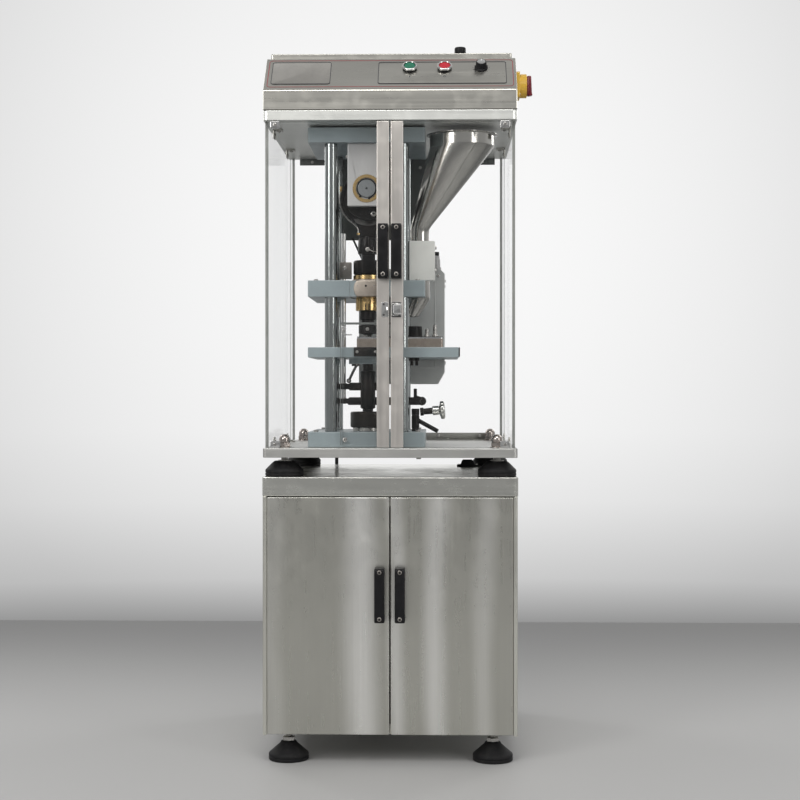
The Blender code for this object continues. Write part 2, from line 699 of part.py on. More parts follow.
def build_drive():
    half = 0.038
    cheek_low = SHAFT_Z - 0.034
    front_face = -0.188
    rear_face = 0.030
    cheek = 0.020
    block = box(
        "bearing_block",
        (PUNCH_X - half, front_face, cheek_low),
        (PUNCH_X + half, rear_face, TOP_LOW - GAP),
        "light_grey_paint",
        corner=0.003,
    )
    window = box(
        "block_window",
        (PUNCH_X - half - OVER, front_face + cheek, cheek_low - OVER),
        (PUNCH_X + half + OVER, rear_face - cheek, TOP_LOW - 0.015),
    )
    bore = cylinder("shaft_bore", (PUNCH_X, -0.08, SHAFT_Z), SHAFT_RADIUS + 0.0006, 0.26, axis="Y", sides=32)
    cut(block, window, bore)

    shaft_front = front_face - 0.004
    shaft_back = PULLEY_Y + PULLEY_WIDE / 2 + 0.006
    shaft_centre = (PUNCH_X, (shaft_front + shaft_back) / 2, SHAFT_Z)
    shaft = cylinder(
        "crankshaft", shaft_centre, SHAFT_RADIUS, shaft_back - shaft_front, "dark_steel", "Y", sides=32
    )
    webs = [
        cylinder(
            f"crank_web_{label}",
            (PUNCH_X, PUNCH_Y + offset, SHAFT_Z - CRANK_THROW),
            WEB_RADIUS,
            0.009,
            axis="Y",
            sides=32,
        )
        for offset, label in ((-0.0155, "front"), (0.0155, "rear"))
    ]
    pulley = cylinder("crank_pulley", (PUNCH_X, PULLEY_Y, SHAFT_Z), CRANK_PULLEY, PULLEY_WIDE, axis="Y", sides=40)
    join(shaft, *webs, pulley)
    pivot("crank_turn", (PUNCH_X, PUNCH_Y, SHAFT_Z), shaft)

    strap_z = SHAFT_Z - CRANK_THROW
    rod = cylinder("connecting_rod", (PUNCH_X, PUNCH_Y, strap_z), STRAP_RADIUS, STRAP_THICK, "dark_steel", "Y", 40)
    neck = box(
        "rod_neck",
        (PUNCH_X - 0.016, PUNCH_Y - STRAP_THICK / 2, 1.020),
        (PUNCH_X + 0.016, PUNCH_Y + STRAP_THICK / 2, strap_z - 0.040),
    )
    spindle_profile = [
        (0, 1.024), (0.015, 1.024), (0.019, 1.018), (0.020, 0.992), (0.0138, 0.990), (0.0138, 0.9155), (0, 0.9155),
    ]
    spindle = turned("rod_spindle", (PUNCH_X, PUNCH_Y, 0), spindle_profile)
    join(rod, neck, spindle)
    cut(rod, cylinder("strap_bore", (PUNCH_X, PUNCH_Y, strap_z), STRAP_BORE, 0.04, axis="Y", sides=32))
    nut_profile = [
        (0.0146, 0.978), (0.027, 0.978), (0.029, 0.976), (0.029, 0.9515), (0.027, 0.9497), (0.0146, 0.9497),
    ]
    nut = turned("stroke_nut", (PUNCH_X, PUNCH_Y, 0), nut_profile, "black_plastic", ring=True)
    punch_profile = [
        (0, 0.9150), (SLEEVE_RADIUS, 0.9150), (SLEEVE_RADIUS, 0.878), (0.016, 0.877), (0.016, 0.861),
        (0.013, 0.859), (0.013, 0.850), (0.0185, 0.849), (0.0185, 0.833), (0.011, 0.831),
        (TIP_RADIUS, 0.830), (TIP_RADIUS, 0.8025), (0, 0.8025),
    ]
    punch = turned("upper_punch", (PUNCH_X, PUNCH_Y, 0), punch_profile, "dark_steel")
    pivot("ram_slide", (PUNCH_X, PUNCH_Y, strap_z), rod, nut, punch)
    guide_profile = [
        (0.0252, 0.9485), (0.029, 0.9485), (0.029, 0.941), (GUIDE_RADIUS, 0.940),
        (GUIDE_RADIUS, 0.905), (0.0252, 0.905),
    ]
    turned("punch_guide", (PUNCH_X, PUNCH_Y, 0), guide_profile, "bronze", ring=True, steps=32)
    build_motor_drive()


def build_motor_drive():
    wall = 0.002
    corner = 0.010
    slant_wide = 0.014
    slant_tall = 0.025
    low = Vector((-0.075, PLATEN_BACK + 0.0005, 0.733))
    high = Vector((0.106, 0.235, 0.975))

    def outline(inset, drop):
        """The cover seen from the front, with its slanted corner low on the right; drop takes it lower."""
        left, right, top, bottom = low.x + inset, high.x - inset, high.z - inset, low.z - drop
        slant = math.hypot(slant_wide, slant_tall)
        slant_x = high.x - slant_wide - inset * slant / slant_tall - drop * slant_wide / slant_tall
        slant_z = low.z + slant_tall + inset * (slant - slant_tall) / slant_wide
        return [
            (left, bottom), (slant_x, bottom), (right, slant_z), (right, top - corner),
            (right - corner, top), (left + corner, top), (left, top - corner),
        ]

    upright = (math.pi / 2, 0, 0)
    middle = (0, (low.y + high.y) / 2, 0)
    deep = high.y - low.y
    cover = slab("motor_housing", outline(0, 0), deep, "light_grey_paint", middle, upright)
    inside = slab("motor_inside", outline(wall, OVER), deep - 2 * wall, None, middle, upright)
    slot = box("belt_slot", (-0.068, PULLEY_Y - 0.016, 0.95), (0.056, PULLEY_Y + 0.016, 1.0))
    cut(cover, inside, slot)
    pulley_profile = [
        (0, 0.014), (MOTOR_PULLEY, 0.014), (MOTOR_PULLEY, -0.010), (0.010, -0.010), (0.010, -0.050), (0, -0.050),
    ]
    pulley = turned(
        "motor_pulley", (MOTOR_X, PULLEY_Y, MOTOR_Z), pulley_profile, "steel", upright, steps=24
    )
    pivot("motor_turn", (MOTOR_X, PULLEY_Y, MOTOR_Z), pulley)
    belt_outline(0.0012, 0.0050)


def belt_outline(clear, thick):
    """The belt: a band around both pulleys, with a running clearance."""
    big = Vector((PUNCH_X, SHAFT_Z))
    small = Vector((MOTOR_X, MOTOR_Z))

    def loop(extra):
        line = big - small
        apart = line.length
        lean = math.atan2(line.y, line.x)
        spread = math.acos((CRANK_PULLEY - MOTOR_PULLEY) / apart)
        points = []
        for step in range(25):
            angle = lean + (step / 24 - 0.5) * 2 * (math.pi - spread)
            points.append(big + Vector((math.cos(angle), math.sin(angle))) * (CRANK_PULLEY + extra))
        for step in range(13):
            angle = lean + (math.pi - spread) + (step / 12) * 2 * spread
            points.append(small + Vector((math.cos(angle), math.sin(angle))) * (MOTOR_PULLEY + extra))
        return [(point.x, point.y) for point in points]

    turn = (math.pi / 2, 0, 0)
    at = (0, PULLEY_Y, 0)
    belt = slab("drive_belt", loop(clear + thick), 0.018, "rubber", at, turn)
    cut(belt, slab("belt_inside", loop(clear), 0.05, None, at, turn))


def build_feed():
    rings = [
        (1.2275, HOPPER_X, 0.0712), (1.2275, HOPPER_X, 0.064), (1.204, HOPPER_X, 0.064),
        (1.041, NECK_X, 0.019), (0.900, NECK_X + 0.002, 0.019), (0.866, 0.040, 0.013),
    ]
    shape = bmesh.new()
    loops = []
    for height, x, radius in rings:
        place_ring = Matrix.Translation((x, PUNCH_Y, height))
        ring = bmesh.ops.create_circle(shape, cap_ends=False, segments=32, radius=radius, matrix=place_ring)
        loops.append([edge for edge in shape.edges if all(vert in ring["verts"] for vert in edge.verts)])
    for first, second in zip(loops, loops[1:]):
        bmesh.ops.bridge_loops(shape, edges=first + second)
    bmesh.ops.recalc_face_normals(shape, faces=shape.faces)
    hopper = place("hopper", to_mesh("hopper", shape), "steel")
    wall = hopper.modifiers.new("wall", "SOLIDIFY")
    wall.thickness = 0.0015
    wall.offset = 0
    wall.use_even_offset = True

    shoe_half = 0.029
    shoe_low = TABLE_HIGH + 0.0005
    shoe_high = 0.826
    inlet_x = 0.042
    shoe = box(
        "feed_shoe",
        (-0.069, PUNCH_Y - shoe_half, shoe_low),
        (0.102, PUNCH_Y + shoe_half, shoe_high),
        "bronze",
        corner=0.004,
    )
    collar_low = shoe_high - 0.004
    collar_high = 0.847
    collar_at = (inlet_x, PUNCH_Y, (collar_low + collar_high) / 2)
    join(shoe, cylinder("shoe_collar", collar_at, 0.019, collar_high - collar_low))
    mouth = slab("shoe_mouth", capsule(-0.063, 0.004, 0.0125), 0.06, None, (0, PUNCH_Y, shoe_high))
    cut(shoe, mouth, cylinder("shoe_inlet", (inlet_x, PUNCH_Y, shoe_high), 0.0155, 0.06))
    pivot("shoe_slide", (-0.008, PUNCH_Y, shoe_low), shoe)


def build_ejector():
    shaft_profile = [
        (0, 0.790), (TIP_RADIUS, 0.790), (TIP_RADIUS, 0.776), (0.0105, 0.774), (0.0105, 0.758), (0.015, 0.756),
        (0.015, 0.684), (0.0105, 0.682), (0.0105, 0.646), (0, 0.646),
    ]
    shaft = turned("ejector", (PUNCH_X, PUNCH_Y, 0), shaft_profile, "dark_steel")
    upper_arm = slab("upper_arm", capsule(-0.106, -0.020, 0.010), 0.016, None, (0, PUNCH_Y, 0.727))
    lower_arm = slab("lower_arm", capsule(-0.106, 0.069, 0.009), 0.016, None, (0, PUNCH_Y, 0.698))
    rod_low = 0.692
    rod_high = 1.033
    rod = cylinder("lift_rod", (LIFT_X, PUNCH_Y, (rod_low + rod_high) / 2), 0.005, rod_high - rod_low, sides=12)
    block = box("lift_block", (-0.104, PUNCH_Y - 0.009, 0.942), (-0.0805, PUNCH_Y + 0.009, 0.975))
    join(shaft, upper_arm, lower_arm, rod, block)
    pivot("ejector_slide", (PUNCH_X, PUNCH_Y, 0.700), shaft)

    ring_profile = [
        (0.0125, 0.677), (0.033, 0.677), (0.035, 0.675), (0.035, 0.6475), (0.033, 0.6455),
        (0.030, 0.6455), (0.030, LOWER_PLATEN_HIGH + GAP), (0.0125, LOWER_PLATEN_HIGH + GAP),
    ]
    ring = turned("adjusting_ring", (PUNCH_X, PUNCH_Y, 0), ring_profile, "dark_steel", ring=True, steps=32)
    pivot("ring_turn", (PUNCH_X, PUNCH_Y, LOWER_PLATEN_HIGH), ring)

    post_low = LOWER_PLATEN_HIGH + GAP
    post_high = 0.683
    post = cylinder(
        "lock_lever",
        (POST_X, PUNCH_Y, (post_low + post_high) / 2),
        0.008,
        post_high - post_low,
        "black_plastic",
        sides=20,
    )
    bar_start = Vector((POST_X, PUNCH_Y, 0.662))
    bar_end = Vector((0.092, PUNCH_Y - 0.012, 0.638))
    join(post, tube("lever_bar", smooth_route([bar_start, (bar_start + bar_end) / 2, bar_end], 0.02), 0.0045, None))
    pivot("lever_turn", (POST_X, PUNCH_Y, post_low), post)

    star_profile = [
        (0, 0.050), (0.012, 0.050), (0.018, 0.047), (0.018, 0.041), (0.012, 0.0375),
        (0.009, 0.037), (0.009, 0.025), (0.0065, 0.024), (0.005, 0.0), (0, 0.0),
    ]
    star_at = (POST_X + 0.0095, PUNCH_Y, 0.6765)
    star = turned("star_knob", star_at, star_profile, "steel", (0, math.pi / 2 - STAR_TILT, 0))
    pivot("star_turn", star_at, star)


def build_lead():
    gland_profile = [
        (0, GLAND_END), (0.0052, GLAND_END), (0.009, HEAD_BACK + 0.012), (0.0135, HEAD_BACK + 0.010),
        (0.0135, HEAD_BACK + GAP), (0.0096, HEAD_BACK + GAP), (0.0096, 0.246), (0, 0.246),
    ]
    turned("cord_gland", (GLAND_X, 0, GLAND_Z), gland_profile, "black_plastic", (-math.pi / 2, 0, 0), steps=20)
    tube("mains_cord", smooth_route(LEAD_ROUTE, 0.021), LEAD_RADIUS, "black_plastic")
    outer = COIL_RADIUS + COIL_HALF_WIDE
    inner = COIL_RADIUS - COIL_HALF_WIDE
    ease = 0.003
    coil_profile = [
        (inner, COIL_HIGH - ease), (inner + ease, COIL_HIGH), (outer - ease, COIL_HIGH),
        (outer, COIL_HIGH - ease), (outer, ease), (outer - ease, 0), (inner + ease, 0), (inner, ease),
    ]
    turned("cord_coil", (COIL_X, COIL_Y, 0), coil_profile, "black_plastic", ring=True)
    plug_y = COIL_Y - COIL_RADIUS
    low = COIL_HIGH + GAP
    plug = box(
        "mains_plug",
        (COIL_X - 0.026, plug_y - 0.017, low),
        (COIL_X + 0.026, plug_y + 0.017, low + 0.026),
        "black_plastic",
        corner=0.008,
        corner_axis=0,
    )
    for side, label in ((-1, "front"), (1, "rear")):
        pin_at = (COIL_X - 0.034, plug_y + side * 0.0095, low + 0.013)
        join(plug, cylinder(f"plug_pin_{label}", pin_at, 0.0024, 0.021, axis="X", sides=10))


build_cabinet()
build_feet()
build_enclosure()
build_head()
build_press_frame()
build_drive()
build_feed()
build_ejector()
build_lead()

for piece in PARTS.objects:
    if piece.type == "MESH":
        piece.data.shade_smooth()
        piece.data.set_sharp_from_angle(angle=math.radians(35))
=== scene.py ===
"""Looks of a single-punch tablet press in a clear enclosure, on a two-door stainless cabinet.

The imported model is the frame. Lengths are metres. Places are written in the design frame, whose X = 0
and Y = 0 lie in the middle of the base plate and Z = 0 on the floor: place() turns them into the row
frame. Left and right are as seen from the front, which faces -Y.
"""

import math

import bmesh
import bpy
from mathutils import Matrix, Vector


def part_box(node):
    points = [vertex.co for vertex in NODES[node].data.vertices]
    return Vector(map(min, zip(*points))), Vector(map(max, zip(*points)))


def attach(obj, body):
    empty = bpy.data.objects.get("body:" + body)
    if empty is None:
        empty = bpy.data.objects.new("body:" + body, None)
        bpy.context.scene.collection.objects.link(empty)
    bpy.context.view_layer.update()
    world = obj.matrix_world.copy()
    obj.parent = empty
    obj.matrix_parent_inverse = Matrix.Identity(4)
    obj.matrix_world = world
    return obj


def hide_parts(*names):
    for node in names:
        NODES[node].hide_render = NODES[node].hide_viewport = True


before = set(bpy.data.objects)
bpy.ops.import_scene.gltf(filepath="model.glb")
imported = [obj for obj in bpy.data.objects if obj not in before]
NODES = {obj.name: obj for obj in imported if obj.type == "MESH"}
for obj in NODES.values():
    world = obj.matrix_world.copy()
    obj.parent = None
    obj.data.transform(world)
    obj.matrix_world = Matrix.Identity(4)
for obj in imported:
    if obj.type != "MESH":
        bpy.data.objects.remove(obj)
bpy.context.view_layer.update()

PLATE_LOW, PLATE_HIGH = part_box("base_plate")
MIDDLE = (PLATE_LOW + PLATE_HIGH) / 2
FLOOR_GAP = 0.0003
FRONT = (0, -1, 0)
BACK = (0, 1, 0)
UP = (0, 0, 1)
DOWN = (0, 0, -1)
LEFT = (-1, 0, 0)
RIGHT = (1, 0, 0)
SIDES = (-1, 1)


def place(x, y, z):
    """A point of the design frame in the row frame."""
    return Vector((MIDDLE.x + x, MIDDLE.y + y, z))


def edges_of(node):
    """Low and high corner of a CAD node in the design frame."""
    shift = place(0, 0, 0)
    low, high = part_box(node)
    return low - shift, high - shift


def middle_of(node):
    low, high = edges_of(node)
    return (low + high) / 2


def upright(node):
    """A standing round node: its axis on the floor, its radius, and its low and high end."""
    low, high = edges_of(node)
    return ((low.x + high.x) / 2, (low.y + high.y) / 2, 0), (high.x - low.x) / 2, low.z, high.z


def named(start):
    return [name for name in NODES if name.startswith(start)]


def pairs(*values):
    """Points of a flat outline or a turned profile: every two values are one point."""
    return list(zip(values[::2], values[1::2]))


def mm(*values):
    """The same in millimetres."""
    return pairs(*(value / 1000 for value in values))


def show(name, data):
    """A new object in the scene."""
    made = bpy.data.objects.new(name, data)
    bpy.context.scene.collection.objects.link(made)
    return made


# ---------------------------------------------------------------- camera

CAMERA_ACROSS = 0.098
CAMERA_AWAY = 3.0
CAMERA_HEIGHT = 0.722
LOOK_LEFT = math.radians(1.5)
LOOK_DOWN = math.radians(0.4)
LENS = 70.4


def add_camera():
    data = bpy.data.cameras.new("photo_view")
    data.lens = LENS
    data.clip_end = 60.0
    camera = show("photo_view", data)
    camera.location = (MIDDLE.x + CAMERA_ACROSS, PLATE_LOW.y - CAMERA_AWAY, CAMERA_HEIGHT)
    look = Vector((-math.sin(LOOK_LEFT), math.cos(LOOK_LEFT), -math.tan(LOOK_DOWN)))
    camera.rotation_euler = look.to_track_quat("-Z", "Y").to_euler()
    bpy.context.scene.camera = camera


# ---------------------------------------------------------------- node materials

EVEN = (1, 1, 1)


def put(node, **values):
    """Sets sockets of a node; an underscore in a name stands for a space."""
    for socket, value in values.items():
        node.inputs[socket.replace("_", " ")].default_value = value


class Nodes:
    """A node tree, with short ways to add to it."""

    def __init__(self, tree):
        self.tree = tree

    def node(self, kind, **settings):
        made = self.tree.nodes.new("ShaderNode" + kind)
        for setting, value in settings.items():
            setattr(made, setting, value)
        return made

    def link(self, output, target):
        self.tree.links.new(output, target)

    def coordinate(self, kind="Object"):
        return self.node("TexCoord").outputs[kind]

    def split(self, vector, axis):
        made = self.node("SeparateXYZ")
        self.link(vector, made.inputs["Vector"])
        return made.outputs[axis]

    def noise(self, scale, stretch=EVEN, detail=3.0, roughness=0.55):
        """Noise on the piece's own coordinates; a small stretch value draws it out along that axis."""
        mapping = self.node("Mapping")
        put(mapping, Scale=stretch)
        noise = self.node("TexNoise")
        put(noise, Scale=scale, Detail=detail, Roughness=roughness)
        self.link(self.coordinate(), mapping.inputs["Vector"])
        self.link(mapping.outputs["Vector"], noise.inputs["Vector"])
        return noise.outputs["Fac"]

    def span(self, value, low, high, to_low=0.0, to_high=1.0, kind="LINEAR"):
        """The value's range low to high, mapped onto another range."""
        made = self.node("MapRange", interpolation_type=kind)
        put(made, From_Min=low, From_Max=high, To_Min=to_low, To_Max=to_high)
        self.link(value, made.inputs["Value"])
        return made.outputs["Result"]

    def math(self, operation, *values):
        return self.mixed(self.node("Math", operation=operation), values).outputs["Value"]

    def mixed(self, made, values, first=0):
        """Gives a node's sockets, from the first on, a number, a colour or an earlier output each."""
        for index, value in enumerate(values):
            socket = made.inputs[first + index]
            if isinstance(value, bpy.types.NodeSocket):
                self.link(value, socket)
            else:
                socket.default_value = (*value, 1.0) if isinstance(value, tuple) else value
        return made

    def blend(self, share, first, second, **settings):
        """A colour between two colours, or between an earlier output and a colour."""
        made = self.node("Mix", data_type="RGBA", **settings)
        return self.mixed(self.mixed(made, [share]), [first, second], 6).outputs[2]

    def ramp(self, value, stops):
        """Greys at stops along the value, each stop its place and its grey."""
        made = self.node("ValToRGB")
        elements = made.color_ramp.elements
        while len(elements) < len(stops):
            elements.new(0.5)
        for element, (where, grey) in zip(elements, stops):
            element.position = where
            element.color = (grey, grey, grey, 1.0)
        self.link(value, made.inputs["Fac"])
        return made.outputs["Color"]


class Finish(Nodes):
    """A procedural material being put together around its shader."""

    def __init__(self, name, slot, colour, roughness, metallic=0.0, **sockets):
        self.material = bpy.data.materials.new(name)
        self.material.use_nodes = True
        self.slot = slot
        super().__init__(self.material.node_tree)
        self.shader = self.tree.nodes["Principled BSDF"]
        put(self.shader, Base_Color=(*colour, 1.0), Roughness=roughness, Metallic=metallic, **sockets)
        self.height = None

    def painted_highlight_bands(self, rows):
        """Painted highlights: soft upright bands across X, each with its middle, its reach and its strength,
        where the colour is lifted in place of reflected light.
        """
        wander = self.span(self.noise(5, (1, 1, 0.6), 1.0), 0.3, 0.7, -0.01, 0.01)
        across = self.math("ADD", self.split(self.coordinate(), "X"), wander)
        total = 0.0
        for middle, reach, strength in rows:
            away = self.math("ABSOLUTE", self.math("SUBTRACT", across, middle), 0.0)
            total = self.math("MAXIMUM", self.span(away, reach, 0.0, 0.0, strength, "SMOOTHSTEP"), total)
        return total

    def worn_edges(self, reach):
        """Near 1 along a piece's edges and corners, 0 on its flats."""
        soft = self.node("Bevel", samples=4)
        put(soft, Radius=reach)
        dot = self.node("VectorMath", operation="DOT_PRODUCT")
        self.link(soft.outputs["Normal"], dot.inputs[0])
        self.link(self.node("NewGeometry").outputs["Normal"], dot.inputs[1])
        return self.span(dot.outputs["Value"], 0.995, 0.9)

    def tint(self, value, low, high, first, second, edge=None, reach=0.0):
        """From the first colour to the second as the value goes from low to high; edge for worn edges."""
        colour = self.blend(self.span(value, low, high), first, second)
        if edge:
            colour = self.blend(self.worn_edges(reach), colour, edge)
        self.link(colour, self.shader.inputs["Base Color"])

    def rough(self, value, low, high, least, most):
        self.link(self.span(value, low, high, least, most), self.shader.inputs["Roughness"])

    def bump(self, output, strength, distance):
        """Bump on the shader's normal; a second call lies on top of the first."""
        made = self.node("Bump")
        put(made, Strength=strength, Distance=distance)
        self.link(output, made.inputs["Height"])
        if self.height is not None:
            self.link(self.height, made.inputs["Normal"])
        self.height = made.outputs["Normal"]
        self.link(self.height, self.shader.inputs["Normal"])


def shade(colour, factor):
    return tuple(channel * factor for channel in colour)


# Pale colour that the painted highlight bands lift the metal to
PAINTED_HIGHLIGHT_TINT = (0.99, 0.985, 0.95)


def brushed(name, slot, colour, along, roughness=0.3, cloud=0.22, anisotropy=0.45, painted_highlight_bands=()):
    """Brushed sheet metal: hair lines along one axis, broader streaks, a slow cloudy tint and, when given,
    painted highlight bands.
    """
    finish = Finish(name, slot, colour, roughness, 1.0, Anisotropic=anisotropy)
    stretch, wide = (tuple(small if axis == along else 1 for axis in "XYZ") for small in (0.02, 0.25))
    hair = finish.noise(900, stretch, 2.0, 0.7)
    streak = finish.noise(130, stretch, 4.0, 0.65)
    clouds = finish.noise(9, wide, 3.0, 0.5)
    smudge = finish.noise(34, EVEN, 4.0, 0.6)
    dim, bright = shade(colour, 1 - cloud), shade(colour, 1 + 0.6 * cloud)
    tint = finish.blend(finish.span(clouds, 0.36, 0.66), dim, bright)
    # Painted highlight: the colour is lifted towards a pale tint along the given bands
    if painted_highlight_bands:
        tint = finish.blend(finish.painted_highlight_bands(painted_highlight_bands), tint, PAINTED_HIGHLIGHT_TINT)
    tint = finish.blend(finish.span(streak, 0.35, 0.7, 0.0, 0.16), tint, shade(colour, 0.86))
    finish.link(tint, finish.shader.inputs["Base Color"])
    rough = finish.span(streak, 0.3, 0.7, roughness - 0.05, roughness + 0.07)
    rough = finish.math("ADD", rough, finish.span(smudge, 0.45, 0.75, 0.0, 0.09))
    finish.link(rough, finish.shader.inputs["Roughness"])
    finish.bump(hair, 0.04, 0.0001)
    finish.bump(streak, 0.02, 0.0001)
    tangent = finish.node("Tangent", direction_type="RADIAL", axis="Z")
    finish.link(tangent.outputs["Tangent"], finish.shader.inputs["Tangent"])
    return finish


def polished(name, slot, colour, roughness=0.16):
    """Polished sheet or bar: bright, with faint turning lines and finger smudges."""
    finish = Finish(name, slot, colour, roughness, 1.0)
    smudge = finish.noise(26, (1, 1, 0.6), 4.0, 0.6)
    finish.tint(smudge, 0.4, 0.7, colour, shade(colour, 0.86))
    finish.rough(smudge, 0.35, 0.7, roughness - 0.03, roughness + 0.08)
    finish.bump(finish.noise(700, (1, 1, 0.08), 2.0), 0.05, 0.0002)
    return finish


def machined(name, slot, colour, roughness=0.3, edge=1.25):
    """Turned or milled metal: fine tool lines, slightly uneven tint, brighter worn edges."""
    finish = Finish(name, slot, colour, roughness, 1.0)
    mottle = finish.noise(60, EVEN, 4.0, 0.6)
    finish.tint(mottle, 0.35, 0.7, colour, shade(colour, 0.72), shade(colour, edge), 0.0012)
    finish.rough(mottle, 0.3, 0.7, roughness - 0.06, roughness + 0.1)
    finish.bump(finish.noise(520, (0.15, 0.15, 1.6), 2.0, 0.6), 0.12, 0.0002)
    return finish


def oiled_steel(name, slot, colour, roughness=0.36):
    """Blackened steel with an oily bloom, rubbed through to bright metal along its edges."""
    finish = Finish(name, slot, colour, roughness, 0.35, Specular_IOR_Level=0.18)
    mottle = finish.noise(95, EVEN, 5.0, 0.65)
    bloom = finish.noise(22, EVEN, 3.0, 0.5)
    finish.tint(bloom, 0.4, 0.65, colour, (0.022, 0.019, 0.018), (0.1, 0.098, 0.095), 0.0008)
    finish.rough(mottle, 0.3, 0.7, roughness - 0.1, roughness + 0.14)
    finish.bump(mottle, 0.1, 0.0004)
    return finish


def enamel(name, slot, colour, edge_colour, roughness=0.42):
    """Stove enamel: faint orange peel, a little dust in the colour, thin along the edges."""
    finish = Finish(name, slot, colour, roughness, 0.0, Coat_Weight=0.12, Coat_Roughness=0.18)
    dust = finish.noise(17, EVEN, 5.0, 0.65)
    finish.tint(dust, 0.38, 0.7, colour, shade(colour, 0.88), edge_colour, 0.0016)
    finish.rough(dust, 0.35, 0.7, roughness - 0.06, roughness + 0.1)
    finish.bump(finish.noise(420, EVEN, 2.0), 0.1, 0.0003)
    return finish


def moulded(name, slot, colour, roughness=0.42, grain=0.16):
    """Moulded plastic: fine spark grain, with a paler bloom in patches."""
    finish = Finish(name, slot, colour, roughness, 0.0, Specular_IOR_Level=0.2)
    bloom = finish.noise(48, EVEN, 4.0, 0.6)
    finish.tint(bloom, 0.42, 0.72, colour, shade(colour, 1.6))
    finish.rough(bloom, 0.35, 0.7, roughness - 0.07, roughness + 0.1)
    finish.bump(finish.noise(1300, EVEN, 2.0), grain, 0.0002)
    return finish


def rubber(name, slot, colour=(0.007, 0.007, 0.008)):
    """Matt rubber with dust that settles on it."""
    finish = Finish(name, slot, colour, 0.62, 0.0, Specular_IOR_Level=0.25)
    dust = finish.noise(75, EVEN, 5.0, 0.7)
    finish.tint(dust, 0.45, 0.8, colour, (0.026, 0.025, 0.024))
    finish.rough(dust, 0.3, 0.7, 0.5, 0.78)
    finish.bump(finish.noise(600), 0.18, 0.0003)
    return finish


def gloss(name, slot, colour, roughness=0.22):
    """Glossy coloured plastic with fine handling marks."""
    finish = Finish(name, slot, colour, roughness, 0.0, Coat_Weight=0.08, Coat_Roughness=0.2)
    marks = finish.noise(150, (1, 1, 0.3), 4.0, 0.6)
    finish.tint(marks, 0.4, 0.75, colour, shade(colour, 0.86))
    finish.rough(marks, 0.35, 0.7, roughness - 0.05, roughness + 0.12)
    finish.bump(marks, 0.04, 0.0002)
    return finish


def clear_sheet(name, slot, facing=0.004, grazing=0.3):
    """Clear acrylic sheet: see-through face on, greyer at a slant, with faint wipe marks."""
    finish = Finish(name, slot, (0.86, 0.9, 0.89), 0.04, 0.0, IOR=1.49)
    slant = finish.node("LayerWeight")
    put(slant, Blend=0.25)
    wipe = finish.noise(14, (1, 1, 0.35), 5.0, 0.7)
    cover = finish.span(slant.outputs["Facing"], 0.0, 1.0, facing, grazing)
    cover = finish.math("ADD", cover, finish.span(wipe, 0.5, 0.8, 0.0, 0.008))
    finish.link(cover, finish.shader.inputs["Alpha"])
    finish.rough(wipe, 0.4, 0.8, 0.03, 0.12)
    return finish


def sheet_edge(name, slot):
    """The sawn edge of acrylic sheet: bright, cloudy and faintly green."""
    finish = Finish(name, slot, (0.7, 0.76, 0.74), 0.25, 0.0, Alpha=0.75)
    saw = finish.noise(300, (1, 1, 0.1), 3.0)
    finish.tint(saw, 0.35, 0.7, (0.32, 0.33, 0.31), (0.22, 0.23, 0.215))
    finish.rough(saw, 0.3, 0.7, 0.18, 0.4)
    return finish


STAINLESS = (0.77, 0.765, 0.7)
# Painted highlights on the cabinet doors: each band's middle across X, its reach and its strength
DOOR_PAINTED_HIGHLIGHTS = (
    (-0.243, 0.035, 0.3), (-0.075, 0.048, 1.0), (-0.003, 0.027, 0.75), (0.077, 0.034, 0.9), (0.168, 0.03, 0.5)
)
DOOR_COLOUR = (0.575, 0.57, 0.52)
DOOR_STEEL = brushed("door_steel", "brushed_stainless", DOOR_COLOUR, "Z", 0.29, 0.06, painted_highlight_bands=DOOR_PAINTED_HIGHLIGHTS)
SHELL_STEEL = brushed("shell_steel", "brushed_stainless", STAINLESS, "Z", 0.3, 0.12)
TOP_STEEL = brushed("top_steel", "brushed_stainless", (0.79, 0.79, 0.74), "X", 0.2, 0.1)
HEAD_STEEL = brushed("head_steel", "brushed_stainless", (0.53, 0.52, 0.48), "X", 0.3, 0.14)
RAIL_STEEL = brushed("rail_steel", "brushed_stainless", (0.3, 0.3, 0.28), "X", 0.34, 0.1)
RIM_STEEL = brushed("rim_steel", "brushed_stainless", (0.78, 0.79, 0.76), "X", 0.34, 0.04, 0.2)
put(RIM_STEEL.shader, Metallic=0.72)
ALUMINIUM = brushed("satin_aluminium", "anodised_aluminium", (0.6, 0.6, 0.58), "X", 0.4, 0.06, 0.2)
STILE_METAL = brushed("stile_aluminium", "anodised_aluminium", (0.74, 0.705, 0.665), "Z", 0.34, 0.08, 0.3)
PLATE_STEEL = polished("plate_steel", "polished_steel", (0.6, 0.58, 0.54), 0.15)
COLUMN_STEEL = polished("column_steel", "polished_steel", (0.335, 0.36, 0.36), 0.15)
HOPPER_STEEL = polished("hopper_steel", "polished_steel", (0.52, 0.51, 0.48), 0.14)
KNOB_METAL = polished("knob_metal", "polished_steel", (0.62, 0.62, 0.6), 0.24)
CHROME = polished("bright_chrome", "chrome", (0.72, 0.72, 0.71), 0.1)
NUT_STEEL = polished("nut_steel", "chrome", (0.47, 0.42, 0.39), 0.16)
GROUND_STEEL = machined("ground_steel", "polished_steel", (0.56, 0.57, 0.57), 0.22, 1.15)
SCREW_STEEL = machined("screw_steel", "polished_steel", (0.48, 0.47, 0.45), 0.26)
SHAFT_STEEL = machined("shaft_steel", "dark_steel", (0.34, 0.36, 0.37), 0.34, 1.2)
CLAMP_STEEL = machined("clamp_steel", "dark_steel", (0.3, 0.28, 0.26), 0.36, 1.2)
CLAMP_DARK = machined("strut_steel", "dark_steel", (0.12, 0.12, 0.12), 0.42, 1.3)
WARM_STEEL = machined("warm_steel", "bronze", (0.44, 0.38, 0.33), 0.34, 1.3)
